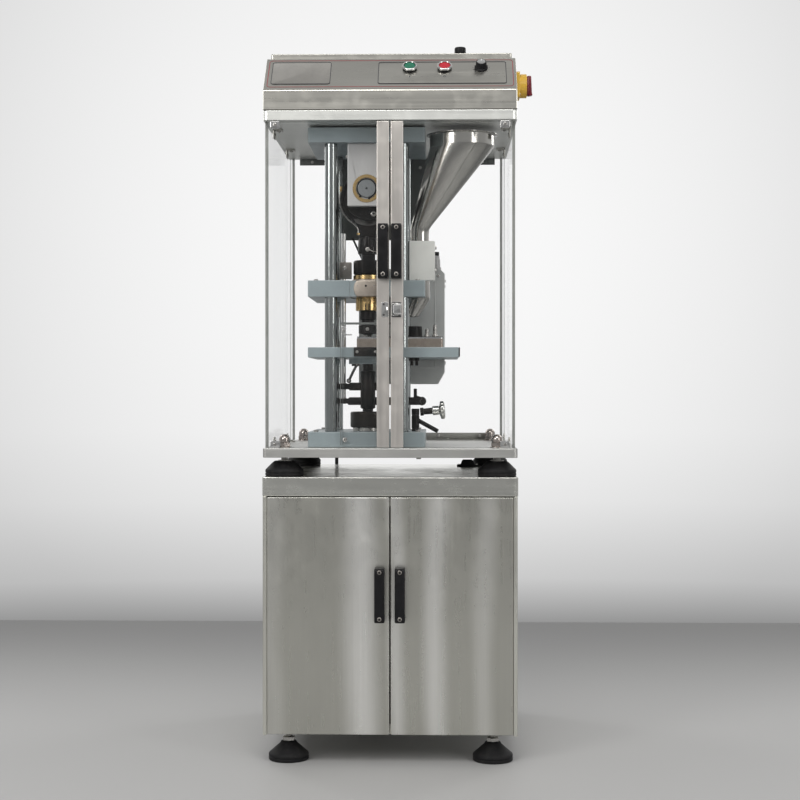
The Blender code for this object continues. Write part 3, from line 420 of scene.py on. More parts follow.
GUIDE_STEEL = machined("guide_steel", "bronze", (0.6, 0.53, 0.46), 0.38, 1.3)
BRASS = machined("turned_brass", "brass", (0.66, 0.47, 0.22), 0.24, 1.3)
BLACK_STEEL = oiled_steel("black_steel", "dark_steel", (0.012, 0.012, 0.013))
RING_BLACK = oiled_steel("ring_black", "dark_steel", (0.016, 0.012, 0.01))
NUT_BLACK = oiled_steel("nut_black", "black_plastic", (0.009, 0.01, 0.012))
GUARD_PAINT = enamel("guard_enamel", "platen_paint", (0.055, 0.062, 0.06), (0.1, 0.11, 0.11), 0.45)
PLATEN_PAINT = enamel("platen_enamel", "platen_paint", (0.285, 0.34, 0.36), (0.42, 0.47, 0.49))
BRACKET_PAINT = enamel("bracket_enamel", "light_grey_paint", (0.68, 0.69, 0.66), (0.78, 0.79, 0.76), 0.4)
GREY_PAINT = enamel("grey_enamel", "light_grey_paint", (0.5, 0.5, 0.5), (0.66, 0.66, 0.65), 0.4)
WHITE_PAINT = enamel("pale_enamel", "light_grey_paint", (0.5, 0.51, 0.5), (0.62, 0.63, 0.62), 0.34)
BLACK_PLASTIC = moulded("black_moulding", "black_plastic", (0.008, 0.008, 0.009), 0.4)
SHEATH = moulded("lead_sheath", "cord_sheath", (0.015, 0.015, 0.016), 0.46, 0.1)
RUBBER = rubber("foot_rubber", "black_rubber")
BELT_RUBBER = rubber("belt_rubber", "black_rubber", (0.022, 0.021, 0.02))
CLEAR = clear_sheet("clear_sheet", "clear_acrylic")
CLEAR_EDGE = sheet_edge("clear_edge", "clear_acrylic")
GUARD_EDGE = gloss("guard_edge", "clear_acrylic", (0.16, 0.17, 0.165), 0.3)
GREEN = gloss("green_cap", "green_plastic", (0.008, 0.15, 0.085), 0.48)
RED = gloss("red_cap", "red_plastic", (0.46, 0.01, 0.026), 0.48)
YELLOW = gloss("switch_yellow", "yellow_plastic", (0.74, 0.46, 0.055), 0.34)
DARK_RED = gloss("switch_red", "dark_red_plastic", (0.17, 0.006, 0.015), 0.3)
LINE_RED = gloss("printed_red", "dark_red_plastic", (0.3, 0.035, 0.045), 0.35)
# Dark print, also used as painted shade in the openings under vent hoods
DARK_PRINT_AND_SLOT_SHADE = gloss("printed_dark_and_slot_shade", "black_plastic", (0.035, 0.036, 0.045), 0.4)
LINE_PALE = gloss("printed_pale", "light_grey_paint", (0.75, 0.75, 0.73), 0.35)


# ---------------------------------------------------------------- building pieces

SHARP_EDGE = 0.6
SMOOTH_BELOW = math.radians(38)


def lies_toward(direction):
    """The turn that takes a shape's own +Z to a direction."""
    return Vector(direction).to_track_quat("Z", "X").to_matrix().to_4x4()


def front_turn(x, y, toward=1):
    """Takes a flat outline onto the XZ plane: X across, Y up, its thickness to the back, or to the front."""
    return Matrix(((1, 0, 0, x), (0, 0, toward, y), (0, 1, 0, 0), (0, 0, 0, 1)))


def arc(centre, radius, start, end, steps=8):
    """Points on an arc, angles in degrees."""
    angles = [math.radians(start + (end - start) * step / steps) for step in range(steps + 1)]
    return [(centre[0] + radius * math.cos(angle), centre[1] + radius * math.sin(angle)) for angle in angles]


def rounded_outline(x_low, y_low, x_high, y_high, radius, steps=6):
    """A rectangle's outline with round corners, anticlockwise."""
    across = (x_high - radius, x_high - radius, x_low + radius, x_low + radius)
    along = (y_low + radius, y_high - radius, y_high - radius, y_low + radius)
    return [
        point for turn, centre in enumerate(zip(across, along))
        for point in arc(centre, radius, 90 * turn - 90, 90 * turn, steps)
    ]


def smooth(points, spacing):
    """Points at about an even spacing on a Catmull-Rom curve through given points."""
    knots = [Vector(point) for point in points]
    knots = [knots[0] * 2 - knots[1]] + knots + [knots[-1] * 2 - knots[-2]]
    fine = []
    for index in range(1, len(knots) - 2):
        before, start, end, after = knots[index - 1 : index + 3]
        count = max(1, round((end - start).length / spacing))
        for step in range(count):
            t = step / count
            linear = (end - before) * t
            square = (2 * before - 5 * start + 4 * end - after) * t**2
            cubic = (3 * start - before - 3 * end + after) * t**3
            fine.append((2 * start + linear + square + cubic) / 2)
    return [*fine, knots[-2]]


def skin(rings, closed=True, caps=False):
    """A shape between rings of points. Closed joins the last ring to the first; caps fill both ends."""
    part = bmesh.new()
    rings = [[part.verts.new(point) for point in ring] for ring in rings]
    for first, second in zip(rings, rings[1:] + (rings[:1] if closed else [])):
        for step in range(len(first)):
            after = (step + 1) % len(first)
            part.faces.new((first[step], first[after], second[after], second[step]))
    if caps:
        part.faces.new(rings[0])
        part.faces.new(rings[-1])
    bmesh.ops.recalc_face_normals(part, faces=part.faces)
    return part


def soften(part, edges, reach, segments):
    bmesh.ops.bevel(part, geom=edges, offset=reach, segments=segments, profile=0.5, affect="EDGES")


def soften_sharp(part, reach, segments):
    if reach:
        soften(part, [edge for edge in part.edges if edge.calc_face_angle(0) > SHARP_EDGE], reach, segments)


class Piece:
    """One piece under construction, in the design frame. Shapes pile up in it until it is finished."""

    def __init__(self, name, body, finish, *others):
        self.name = name
        self.body = body
        self.finishes = [finish, *others]
        self.shape = bmesh.new()
        self.layer = 0

    def paint(self, index):
        """The finish that the next shapes take: 0 is the piece's own, 1 and up are the others."""
        self.layer = index
        return self

    def add(self, part, matrix=None):
        """Takes in another shape's faces, moved by a matrix."""
        if matrix is not None:
            bmesh.ops.transform(part, matrix=matrix, verts=part.verts)
        for face in part.faces:
            face.material_index = self.layer
        mesh = bpy.data.meshes.new("part")
        part.to_mesh(mesh)
        part.free()
        self.shape.from_mesh(mesh)
        bpy.data.meshes.remove(mesh)
        return self

    def block(self, first, second, ease=0.0006, steps=2, corner=0.0, axis=2):
        """A box between two corners with eased edges; corner rounds the four edges along one axis."""
        low, high = (Vector(map(end, first, second)) for end in (min, max))
        part = bmesh.new()
        bmesh.ops.create_cube(part, size=1.0)
        bmesh.ops.scale(part, vec=high - low, verts=part.verts)
        if corner:
            ways = [(edge, (edge.verts[0].co - edge.verts[1].co).normalized()) for edge in part.edges]
            soften(part, [edge for edge, way in ways if abs(way[axis]) > 0.9], corner, 6)
        soften_sharp(part, ease, steps)
        return self.add(part, Matrix.Translation((low + high) / 2))

    def turned(self, profile, at=(0, 0, 0), toward=UP, steps=48, form=None):
        """A profile of (radius, height) turned about its axis; form(angle, height) scales the radius."""
        part = bmesh.new()
        rings = []
        for radius, height in profile:
            if radius < 1e-6:
                rings.append([part.verts.new((0, 0, height))])
                continue
            ring = []
            for step in range(steps):
                angle = 2 * math.pi * step / steps
                here = radius * (form(angle, height) if form else 1.0)
                ring.append(part.verts.new((here * math.cos(angle), here * math.sin(angle), height)))
            rings.append(ring)
        for first, second in zip(rings, rings[1:]):
            for step in range(steps):
                after = (step + 1) % steps
                if len(first) == 1 and len(second) > 1:
                    part.faces.new((first[0], second[step], second[after]))
                elif len(second) == 1 and len(first) > 1:
                    part.faces.new((first[step], first[after], second[0]))
                elif len(first) > 1:
                    part.faces.new((first[step], first[after], second[after], second[step]))
        if len(rings[0]) > 1 and len(rings[-1]) > 1 and profile[0] != profile[-1]:
            part.faces.new(rings[0])
            part.faces.new(rings[-1])
        if profile[0] == profile[-1]:
            bmesh.ops.remove_doubles(part, verts=rings[0] + rings[-1], dist=1e-7)
        bmesh.ops.recalc_face_normals(part, faces=part.faces)
        return self.add(part, Matrix.Translation(at) @ lies_toward(toward))

    def tube(self, points, radius, sides=14):
        """A round bar that follows points."""
        path = [Vector(point) for point in points]
        rings = []
        turn = None
        for index, point in enumerate(path):
            along = (path[min(index + 1, len(path) - 1)] - path[max(index - 1, 0)]).normalized()
            if turn is None:
                turn = along.to_track_quat("Z", "X")
            else:
                turn = (turn @ Vector(UP)).rotation_difference(along) @ turn
            circle = arc((0, 0), 1, 0, 360, sides)[:-1]
            rings.append([point + turn @ Vector((*spot, 0)) * radius for spot in circle])
        return self.add(skin(rings, False, True))

    def plate(self, outline, thickness, matrix, ease=0.0004, steps=2):
        """A flat outline of (x, y) points, thickened from 0 up to the thickness along its own Z."""
        part = bmesh.new()
        part.faces.new([part.verts.new((x, y, 0)) for x, y in outline])
        pulled = bmesh.ops.extrude_face_region(part, geom=part.faces[:])["geom"]
        lifted = [item for item in pulled if isinstance(item, bmesh.types.BMVert)]
        bmesh.ops.translate(part, vec=(0, 0, thickness), verts=lifted)
        bmesh.ops.recalc_face_normals(part, faces=part.faces)
        soften_sharp(part, ease, steps)
        return self.add(part, matrix)

    def frame_line(self, box, corner, width, thickness, matrix, steps=6):
        """A raised line round a rectangle with round corners; box is (x low, y low, x high, y high)."""
        x_low, y_low, x_high, y_high = box
        outer = rounded_outline(*box, corner, steps)
        inside = (x_low + width, y_low + width, x_high - width, y_high - width)
        inner = rounded_outline(*inside, corner - width, steps)
        levels = ((outer, 0), (outer, thickness), (inner, thickness), (inner, 0))
        return self.add(skin([[(x, y, height) for x, y in points] for points, height in levels]), matrix)

    def hex_head(self, at, toward, across, tall):
        """A hexagon head or nut with turned-off corners."""
        half = across / 2 / math.cos(math.pi / 6)

        def six(angle, height):
            return math.cos(math.pi / 6) / math.cos((angle + math.pi / 6) % (math.pi / 3) - math.pi / 6)

        profile = pairs(0, tall, half * 0.86, tall, half, tall * 0.86, half, tall * 0.14, half * 0.88, 0)
        return self.turned([*profile, (0, 0)], at, toward, 48, six)

    def cap_screw(self, at, toward, radius, tall):
        """A socket-head screw: knurled head with an eased rim and a hexagon socket."""
        socket = radius * 0.52
        profile = pairs(0, tall * 0.35, socket, tall * 0.35, socket, tall, radius * 0.86, tall,
                        radius, tall * 0.88, radius, 0, 0, 0)
        return self.turned(profile, at, toward, 24)

    def done(self, *replaces):
        mesh = bpy.data.meshes.new(self.name)
        self.shape.to_mesh(mesh)
        self.shape.free()
        mesh.transform(Matrix.Translation((MIDDLE.x, MIDDLE.y, 0)))
        for finish in self.finishes:
            mesh.materials.append(finish.material)
        mesh.shade_smooth()
        mesh.set_sharp_from_angle(angle=SMOOTH_BELOW)
        made = show(self.name, mesh)
        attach(made, self.body)
        if replaces:
            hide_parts(*replaces)
        return made


# ---------------------------------------------------------------- mains lead

LEAD_DIAMETER = 0.008
LEAD_ROUTE = [
    (-0.141, 0.2943, 1.3), (-0.141, 0.306, 1.3), (-0.141, 0.322, 1.2985), (-0.141, 0.34, 1.291),
    (-0.141, 0.356, 1.277), (-0.141, 0.367, 1.256), (-0.141, 0.373, 1.23), (-0.1415, 0.3755, 1.19),
    (-0.142, 0.376, 1.1), (-0.143, 0.376, 0.95), (-0.144, 0.376, 0.8), (-0.1445, 0.376, 0.6),
    (-0.145, 0.3755, 0.4), (-0.1455, 0.375, 0.25), (-0.146, 0.3748, 0.14), (-0.145, 0.3746, 0.095),
    (-0.141, 0.3745, 0.06), (-0.131, 0.3745, 0.033), (-0.115, 0.3745, 0.0145), (-0.099, 0.3745, 0.0062),
    (-0.087, 0.3745, 0.0046),
]
COIL_LOW, COIL_HIGH = edges_of("cord_coil")
COIL = middle_of("cord_coil")
COIL_OUTER = (COIL_HIGH.x - COIL_LOW.x) / 2 - LEAD_DIAMETER / 2
COIL_TURNS = 5.421
COIL_RISE = 4.9
COIL_FLOOR = LEAD_DIAMETER / 2 + FLOOR_GAP
PLUG_LOW, PLUG_HIGH = edges_of("mains_plug")
PLUG = middle_of("mains_plug")


def ease(share):
    share = min(1.0, max(0.0, share))
    return share * share * (3 - 2 * share)


def coil_point(turn):
    """A point of the coil: two turns in, one turn that climbs at the inside, two turns out, then the plug."""
    inmost = COIL_OUTER - 2 * LEAD_DIAMETER
    if turn < 2:
        radius = COIL_OUTER - LEAD_DIAMETER * turn
    elif turn < 3:
        radius = inmost - 0.003 * math.sin(math.pi * (turn - 2))
    else:
        radius = min(COIL_OUTER, inmost + LEAD_DIAMETER * (turn - 3))
    lift = ease((turn - COIL_RISE) / (COIL_TURNS - COIL_RISE))
    radius -= 0.0014 * lift
    height = COIL_FLOOR + LEAD_DIAMETER * ease(turn - 2) + (PLUG.z - COIL_FLOOR - LEAD_DIAMETER) * lift
    angle = math.pi / 2 - 2 * math.pi * turn
    return Vector((COIL.x + radius * math.cos(angle), COIL.y + radius * math.sin(angle), height))


def lead_points():
    hanging = smooth([*LEAD_ROUTE, (COIL.x - 0.012, COIL.y + COIL_OUTER, COIL_FLOOR)], 0.012)
    steps = round(COIL_TURNS * 40)
    return hanging[:-1] + [coil_point(COIL_TURNS * step / steps) for step in range(steps + 1)]


def add_lead():
    curve = bpy.data.curves.new("mains_lead", "CURVE")
    curve.dimensions = "3D"
    curve.bevel_depth = LEAD_DIAMETER / 2
    curve.bevel_resolution = 5
    curve.use_fill_caps = True
    points = lead_points()
    spline = curve.splines.new("POLY")
    spline.points.add(len(points) - 1)
    for point, where in zip(spline.points, points):
        point.co = (*place(*where), 1.0)
    spline.use_smooth = True
    curve.materials.append(SHEATH.material)
    lead = show("mains_lead", curve)
    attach(lead, "frame")
    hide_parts("mains_cord", "cord_coil")
    gland = add_gland()
    plug = add_plug()
    tie = add_coil_tie()


def add_gland():
    """Cable gland: hexagon body on the housing, domed clamping nut and a ribbed bend protector."""
    at = middle_of("cord_gland")
    wall = edges_of("control_housing")[1].y
    start = wall + 0.0073
    sleeve = start + 0.0088
    length = edges_of("cord_gland")[1].y - sleeve

    def ribbed(angle, height):
        return 1.0 - 0.035 * (math.cos(angle * 14) > 0) * (0.001 < height < 0.007)

    piece = Piece("lead_gland", "frame", BLACK_PLASTIC)
    piece.hex_head((at.x, wall + 0.0003, at.z), BACK, 0.0232, 0.007)
    piece.turned(mm(9.6, -12, 9.6, 0, 10.8, 0, 10.8, 2, 0, 2, 0, -12, 9.6, -12), (at.x, wall, at.z), BACK, 32)
    piece.turned(mm(0, 9, 8.8, 9, 10.4, 7.2, 10.4, 0.6, 9.8, 0, 0, 0), (at.x, start, at.z), BACK, 84, ribbed)
    rings = []
    for rib in range(6):
        near = length * rib / 6
        thick = 0.008 - 0.0026 * rib / 6
        rings += pairs(thick, near, thick - 0.0001, near + length * 0.11, thick - 0.0012,
                       near + length * 0.12, thick - 0.0013, near + length * 0.16)
    piece.turned([(0, 0), *rings, (0.0052, length), (0, length)], (at.x, sleeve, at.z), BACK, 32)
    return piece.done("cord_gland")


def add_plug():
    """Two-pin plug lying on the coil: oval body with finger grips, a ribbed sleeve and two pins."""
    length = PLUG_HIGH.x - PLUG_LOW.x - 0.0185
    front = PLUG_HIGH.x - length
    half = (PLUG_HIGH - PLUG_LOW) / 2
    piece = Piece("lead_plug", "frame", BLACK_PLASTIC, SCREW_STEEL)
    rings = []
    stations = pairs(0.0, 0.0, 0.0, 0.9, 0.02, 0.97, 0.08, 1.0, 0.3, 1.0, 0.36, 0.93, 0.42, 1.0, 0.48, 0.93,
                     0.54, 0.98, 0.6, 0.9, 0.74, 0.74, 0.88, 0.46, 1.0, 0.3)
    for share, size in stations:
        ring = []
        for across, up in arc((0, 0), 1, 0, 360, 32)[:-1]:
            reach = size * (abs(across) ** 3 + abs(up) ** 3) ** (-1 / 3)
            y, z = PLUG.y + half.y * reach * across, PLUG.z + half.z * reach * up
            ring.append((front + length * share, y, z))
        rings.append(ring)
    part = skin(rings, False, True)
    bmesh.ops.remove_doubles(part, verts=part.verts, dist=1e-7)
    bmesh.ops.recalc_face_normals(part, faces=part.faces)
    piece.add(part)
    for side in SIDES:
        at = (front + 0.001, PLUG.y + side * 0.0095, PLUG.z)
        piece.paint(0).turned(mm(2.8, 0, 2.8, 9, 0, 9, 0, 0, 2.8, 0), at, LEFT, 20)
        piece.paint(1).turned(mm(2.3, 9, 2.3, 17.8, 1.6, 19.2, 0, 19.2, 0, 9, 2.3, 9), at, LEFT, 20)
    return piece.done("mains_plug")


def add_coil_tie():
    """A hook-and-loop strap round the coil at its right-hand side."""
    half_wide = 1.5 * LEAD_DIAMETER + 0.0008
    half_tall = LEAD_DIAMETER + 0.0008
    under = -LEAD_DIAMETER
    at = Vector((COIL.x + COIL_OUTER - LEAD_DIAMETER, COIL.y, LEAD_DIAMETER + FLOOR_GAP))
    wide = half_wide + 0.0009
    outer = rounded_outline(-wide, under - 0.0001, wide, half_tall + 0.0009, 0.0045, 5)
    inner = rounded_outline(-half_wide, under + 0.0002, half_wide, half_tall, 0.004, 5)
    bands = ((outer, -0.006), (outer, 0.006), (inner, 0.006), (inner, -0.006))
    strap = skin([[at + Vector((x, along, z)) for x, z in points] for points, along in bands])
    return Piece("lead_tie", "frame", RUBBER).add(strap).done()


# ---------------------------------------------------------------- stage and light

FLOOR_BACK = 1.59
FLOOR_REACH = 9.0
# Floor colour near the press, and the darker colour of the painted shade it fades to at the back
FLOOR_NEAR = (0.42, 0.42, 0.42)
FLOOR_FAR_PAINTED_SHADE = (0.22, 0.22, 0.22)


def add_floor():
    x, near, far = FLOOR_REACH, -FLOOR_REACH, FLOOR_BACK
    part = bmesh.new()
    corners = pairs(-x, near, x, near, x, far, -x, far)
    part.faces.new([part.verts.new(place(*corner, 0)) for corner in corners])
    mesh = bpy.data.meshes.new("studio_floor")
    part.to_mesh(mesh)
    part.free()
    finish = Finish("studio_floor", None, FLOOR_NEAR, 0.55, 0.0, Specular_IOR_Level=0.25)
    # Painted shade: the floor's colour darkens towards the back in place of the light falling off
    depth = finish.span(finish.split(finish.coordinate(), "Y"), 0.1, FLOOR_BACK, 0.0, 1.0, "SMOOTHSTEP")
    finish.link(finish.blend(depth, FLOOR_NEAR, FLOOR_FAR_PAINTED_SHADE), finish.shader.inputs["Base Color"])
    mesh.materials.append(finish.material)
    show("studio_floor", mesh)


def add_sky():
    """The studio as a world: white behind the press, greyer to the sides, above and behind the camera."""
    world = bpy.data.worlds.new("studio")
    bpy.context.scene.world = world
    world.use_nodes = True
    sky = Nodes(world.node_tree)
    aim = sky.node("VectorMath", operation="DOT_PRODUCT")
    aim.inputs[1].default_value = Vector((-0.02, 1.0, 0.1)).normalized()
    way = sky.coordinate("Generated")
    sky.link(way, aim.inputs[0])
    glow = sky.ramp(sky.span(aim.outputs["Value"], -1.0, 1.0),
                    [(0.0, 0.36), (0.45, 0.4), (0.6, 0.52), (0.88, 0.62), (0.975, 0.7), (1.0, 0.955)])
    rise = sky.ramp(sky.span(sky.split(way, "Z"), -0.152, 0.05),
                    [(0.0, 0.36), (0.012, 0.36), (0.16, 0.72), (0.4, 0.93), (0.62, 1.0), (1.0, 1.0)])
    backdrop = world.node_tree.nodes["Background"]
    sky.link(sky.blend(1.0, glow, rise, blend_type="MULTIPLY"), backdrop.inputs["Color"])
    put(backdrop, Strength=1.0)


LIGHTS = (
    ("key_left", (-1.9, -2.6, 2.1), (0, 0, 0.8), (1.0, 1.7), 34),
    ("fill_right", (2.1, -2.2, 1.6), (0, 0, 0.8), (0.9, 1.8), 20),
    ("top", (0, -2.0, 3.0), (0, 0, 0.6), (1.6, 1.0), 30),
    ("back_left", (-1.6, 1.5, 1.9), (0, 0, 0.8), (0.6, 1.4), 10),
    ("back_right", (1.6, 1.5, 1.9), (0, 0, 0.8), (0.6, 1.4), 10),
)


def add_lights():
    """Area lights, each with its place, what it points at, its size and its power in watts."""
    for name, at, toward, size, power in LIGHTS:
        data = bpy.data.lights.new(name, "AREA")
        data.shape = "RECTANGLE"
        data.size, data.size_y = size
        data.energy = power
        data.color = (1.0, 0.985, 0.96)
        light = show(name, data)
        light.location = place(*at)
        light.rotation_euler = (place(*toward) - place(*at)).to_track_quat("-Z", "Y").to_euler()
        light.visible_camera = False


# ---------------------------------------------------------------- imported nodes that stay

DRESSED = (
    (DOOR_STEEL, 0.0014, "cabinet_door_left", "cabinet_door_right"),
    (SHELL_STEEL, 0.001, "cabinet_shell"),
    (TOP_STEEL, 0.002, "worktop"),
    (HEAD_STEEL, 0.0016, "control_housing"),
    (RIM_STEEL, 0.001, "head_base"),
    (ALUMINIUM, 0.0012, "base_plate"),
    (STILE_METAL, 0.0006, "door_stile_left", "door_stile_right"),
    (PLATEN_PAINT, 0.001, "lower_platen", "die_table", "mid_platen", "top_platen"),
    (GREY_PAINT, 0.001, "bearing_block"),
    (WHITE_PAINT, 0.0012, "motor_housing"),
    (CLEAR, 0, "panel_left", "panel_right", "panel_back", "door_pane_left", "door_pane_right"),
    (YELLOW, 0.0008, "switch_plate"),
)


def dress_nodes():
    """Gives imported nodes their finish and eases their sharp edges."""
    for finish, reach, *names in DRESSED:
        for node in map(NODES.get, names):
            node.data.materials.clear()
            node.data.materials.append(finish.material)
            if reach:
                weld = node.modifiers.new("weld", "WELD")
                weld.merge_threshold = 0.00002
                bevel = node.modifiers.new("eased_edges", "BEVEL")
                bevel.width = reach
                bevel.segments = 2
                bevel.limit_method = "ANGLE"
                bevel.angle_limit = math.radians(40)
                bevel.use_clamp_overlap = False


# ---------------------------------------------------------------- feet, handles and hardware of the case


def threaded(radius, low, high, pitch):
    """A threaded rod's profile, top to bottom: ridges a pitch apart."""
    root = radius * 0.86
    count = max(1, round((high - low) / pitch))
    step = (high - low) / count
    points = pairs(0, high, root, high)
    for turn in range(count):
        top = high - step * turn
        points += pairs(root, top - step * 0.05, radius, top - step * 0.35, radius, top - step * 0.65,
                        root, top - step * 0.95)
    return points + pairs(root, low, 0, low)


def rim_groove(radius, inset, *heights):
    """The lower part of a foot's profile: two bands with a groove between them, down to the floor."""
    top, low, groove, groove_low, band, foot = (height / 1000 for height in heights)
    inner = radius - inset
    return pairs(radius, top, radius, low, inner, groove, inner, groove_low, radius, band, radius, foot)


def build_cabinet_feet():
    """Levelling feet: a rubber cone with a moulded ring, a zinc nut and a threaded stem."""
    for name in named("cabinet_foot"):
        at, radius, _, high = upright(name)
        piece = Piece("levelling_" + name, "frame", RUBBER, SCREW_STEEL)
        cone = mm(0, 36.5, 13.5, 36.5, 15, 35.5, 16.5, 32.5, 20.5, 29, 29, 21.5, 35.5, 15.8)
        rim = rim_groove(radius, 0.001, 12, 8.5, 7.6, 6.8, 6, 1.6)
        piece.turned(cone + [(radius - 0.0012, 0.014)] + rim + [(radius - 0.0014, 0.0), (0, 0)], at, UP, 64)
        piece.paint(1).hex_head((*at[:2], 0.0366), UP, 0.0225, 0.0085)
        piece.turned(threaded(0.006, 0.0452, high, 0.0015), at, UP, 24)
        piece.done(name)


def build_machine_feet():
    """Rubber machine feet with washer and stem under the base plate, washer and dome nut above it."""
    for name in named("machine_foot"):
        at, radius, low, high = upright(name)
        at = (*at[:2], low)
        piece = Piece("rubber_" + name, "frame", RUBBER, SCREW_STEEL)
        cone = mm(0, 29, 19, 29, 20.5, 28, 25, 24.5, 34.5, 15)
        rim = rim_groove(radius, 0.0008, 11.2, 7.5, 6.8, 6, 5.2, 1.4)
        piece.turned(cone + [(radius - 0.0008, 0.0128)] + rim + [(radius - 0.0012, 0), (0, 0)], at, UP, 64)
        piece.paint(1).turned(mm(0, 30.6, 12.5, 30.6, 12.8, 30.2, 12.8, 29.1, 0, 29.1), at, UP, 40)
        piece.turned(threaded(0.007, 0.0306, high - low, 0.0018), at, UP, 28)
        piece.done(name)
    for name in named("machine_foot"):
        piece = Piece("dome_nut_" + name[13:], "frame", NUT_STEEL)
        at = Vector((*upright(name)[0][:2], PLATE_HIGH.z + 0.0002))
        piece.turned(mm(0, 1.8, 13.7, 1.8, 14, 1.4, 14, 0, 0, 0), at, UP, 40)
        at.z += 0.0018
        piece.hex_head(at, UP, 0.0225, 0.009)
        dome = arc((0, 0.0135), 0.0109, 90, 0, 9)
        piece.turned([(0, dome[0][1]), *dome[1:], (0.0109, 0.0087), (0, 0.0087)], at, UP, 40)
        piece.done()


def build_handle(node, body):
    """A moulded bridge handle: feet that flow into a crowned bar, and two socket screws with washers."""
    low, high = edges_of(node)
    half_wide = (high.x - low.x) / 2
    half_tall = (high.z - low.z) / 2
    middle = middle_of(node)
    proud = 0.0009
    deep = high.y - low.y - proud
    bar = deep - 0.0095
    foot = half_tall - 0.015
    soft = 0.007
    turn = 0.006
    outline = [(half_tall, 0.0), *arc((half_tall - soft, deep - soft), soft, 0, 90),
               *arc((-half_tall + soft, deep - soft), soft, 90, 180), (-half_tall, 0.0), (-foot, 0.0),
               *arc((-foot + turn, bar - turn), turn, 180, 90, 6),
               *arc((foot - turn, bar - turn), turn, 90, 0, 6), (foot, 0.0)]
    # The outline's own X runs up the handle and its own Y runs out of the face
    stand = Matrix(((0, 0, 1, low.x), (0, -1, 0, high.y), (1, 0, 0, middle.z), (0, 0, 0, 1)))
    piece = Piece("pull_" + node, body, BLACK_PLASTIC, CLAMP_STEEL)
    piece.plate(outline, 2 * half_wide, stand, 0.0022, 4)
    for side in SIDES:
        at = (middle.x, low.y + 0.0008, middle.z + side * (half_tall - 0.0078))
        screw = mm(0, -2.8, 2.1, -2.8, 2.1, 0.6, 3.4, 0.6, 4.2, 0, 4.2, -3, 0, -3)
        piece.paint(1).turned(screw, at, FRONT, 24)
        piece.paint(0).turned(mm(4.4, -0.4, 4.4, 0.2, 6, 0.2, 6.6, -0.4, 4.4, -0.4), at, FRONT, 32)
    piece.done(node)


def build_handles():
    for handle, body in (("cabinet_handle", "cabinet_{}_door"), ("door_handle", "{}_door")):
        for label in ("left", "right"):
            build_handle(f"{handle}_{label}", body.format(label))


def build_door_clips():
    """Pivot clips at the outer top and bottom corners of the clear doors, each with its screw."""
    for side, label in zip(SIDES, ("left", "right")):
        low, high = edges_of(f"door_pane_{label}")
        outer = high.x if side > 0 else low.x
        near, far = outer - side * 0.028, outer - side * 0.01
        piece = Piece(f"pivot_clips_{label}", f"{label}_door", CHROME, SCREW_STEEL)
        for z, drop in ((high.z, -1), (low.z, 1)):
            start, end = z - drop * 0.0004, z + drop * 0.0125
            for y, depth in ((low.y - 0.002, 0.0019), (high.y + 0.0001, 0.0017)):
                piece.paint(0).block((near, y, start), (far, y + depth, end), 0.0005, 2, 0.0022, 1)
            at = ((near + far) / 2, low.y - 0.002, (start + end) / 2)
            piece.paint(1).cap_screw(at, FRONT, 0.0034, 0.0016)
        piece.done()


def build_pane_edges():
    """The clear sheets' sawn edges, which show as grey lines, and the glued beads in the rear corners."""
    thin = 0.0004
    proud = Vector((0.00005, 0.00005, 0))
    lift = Vector((0, 0, 0.00005))
    for side, label in zip(SIDES, ("left", "right")):
        low, high = edges_of(f"door_pane_{label}")
        outer = high.x if side > 0 else low.x
        near, far = sorted((outer, outer - side * thin))
        piece = Piece(f"pane_edge_{label}", f"{label}_door", CLEAR_EDGE)
        piece.block(Vector((near, low.y, low.z)) - proud, Vector((far, high.y, high.z)) + proud, 0.0001, 1)
        sheet = Vector((0, proud.y, 0))
        piece.block(Vector((low.x, low.y, high.z - thin)) - sheet, high + sheet + lift, 0.0001, 1)
        piece.block(low - sheet - lift, Vector((high.x, high.y, low.z + thin)) + sheet, 0.0001, 1)
        piece.done()
        low, high = edges_of(f"panel_{label}")
        piece = Piece(f"panel_edge_{label}", "frame", CLEAR_EDGE)
        piece.block(low - proud, (high.x + proud.x, low.y + thin, high.z), 0.0001, 1)
        piece.done()
    low, high = edges_of("panel_back")
    bead, clear = 0.0052, 0.0003
    piece = Piece("panel_edge_back", "frame", CLEAR_EDGE)
    for x in (low.x, high.x - thin):
        piece.block((x - proud.x, low.y, low.z), (x + thin + proud.x, high.y + proud.y, high.z), 0.0001, 1)
    for x in (edges_of("panel_left")[1].x + clear, edges_of("panel_right")[0].x - clear - bead):
        piece.block((x, low.y - clear - bead, low.z), (x + bead, low.y - clear, high.z), 0.0012, 3)
    piece.done()


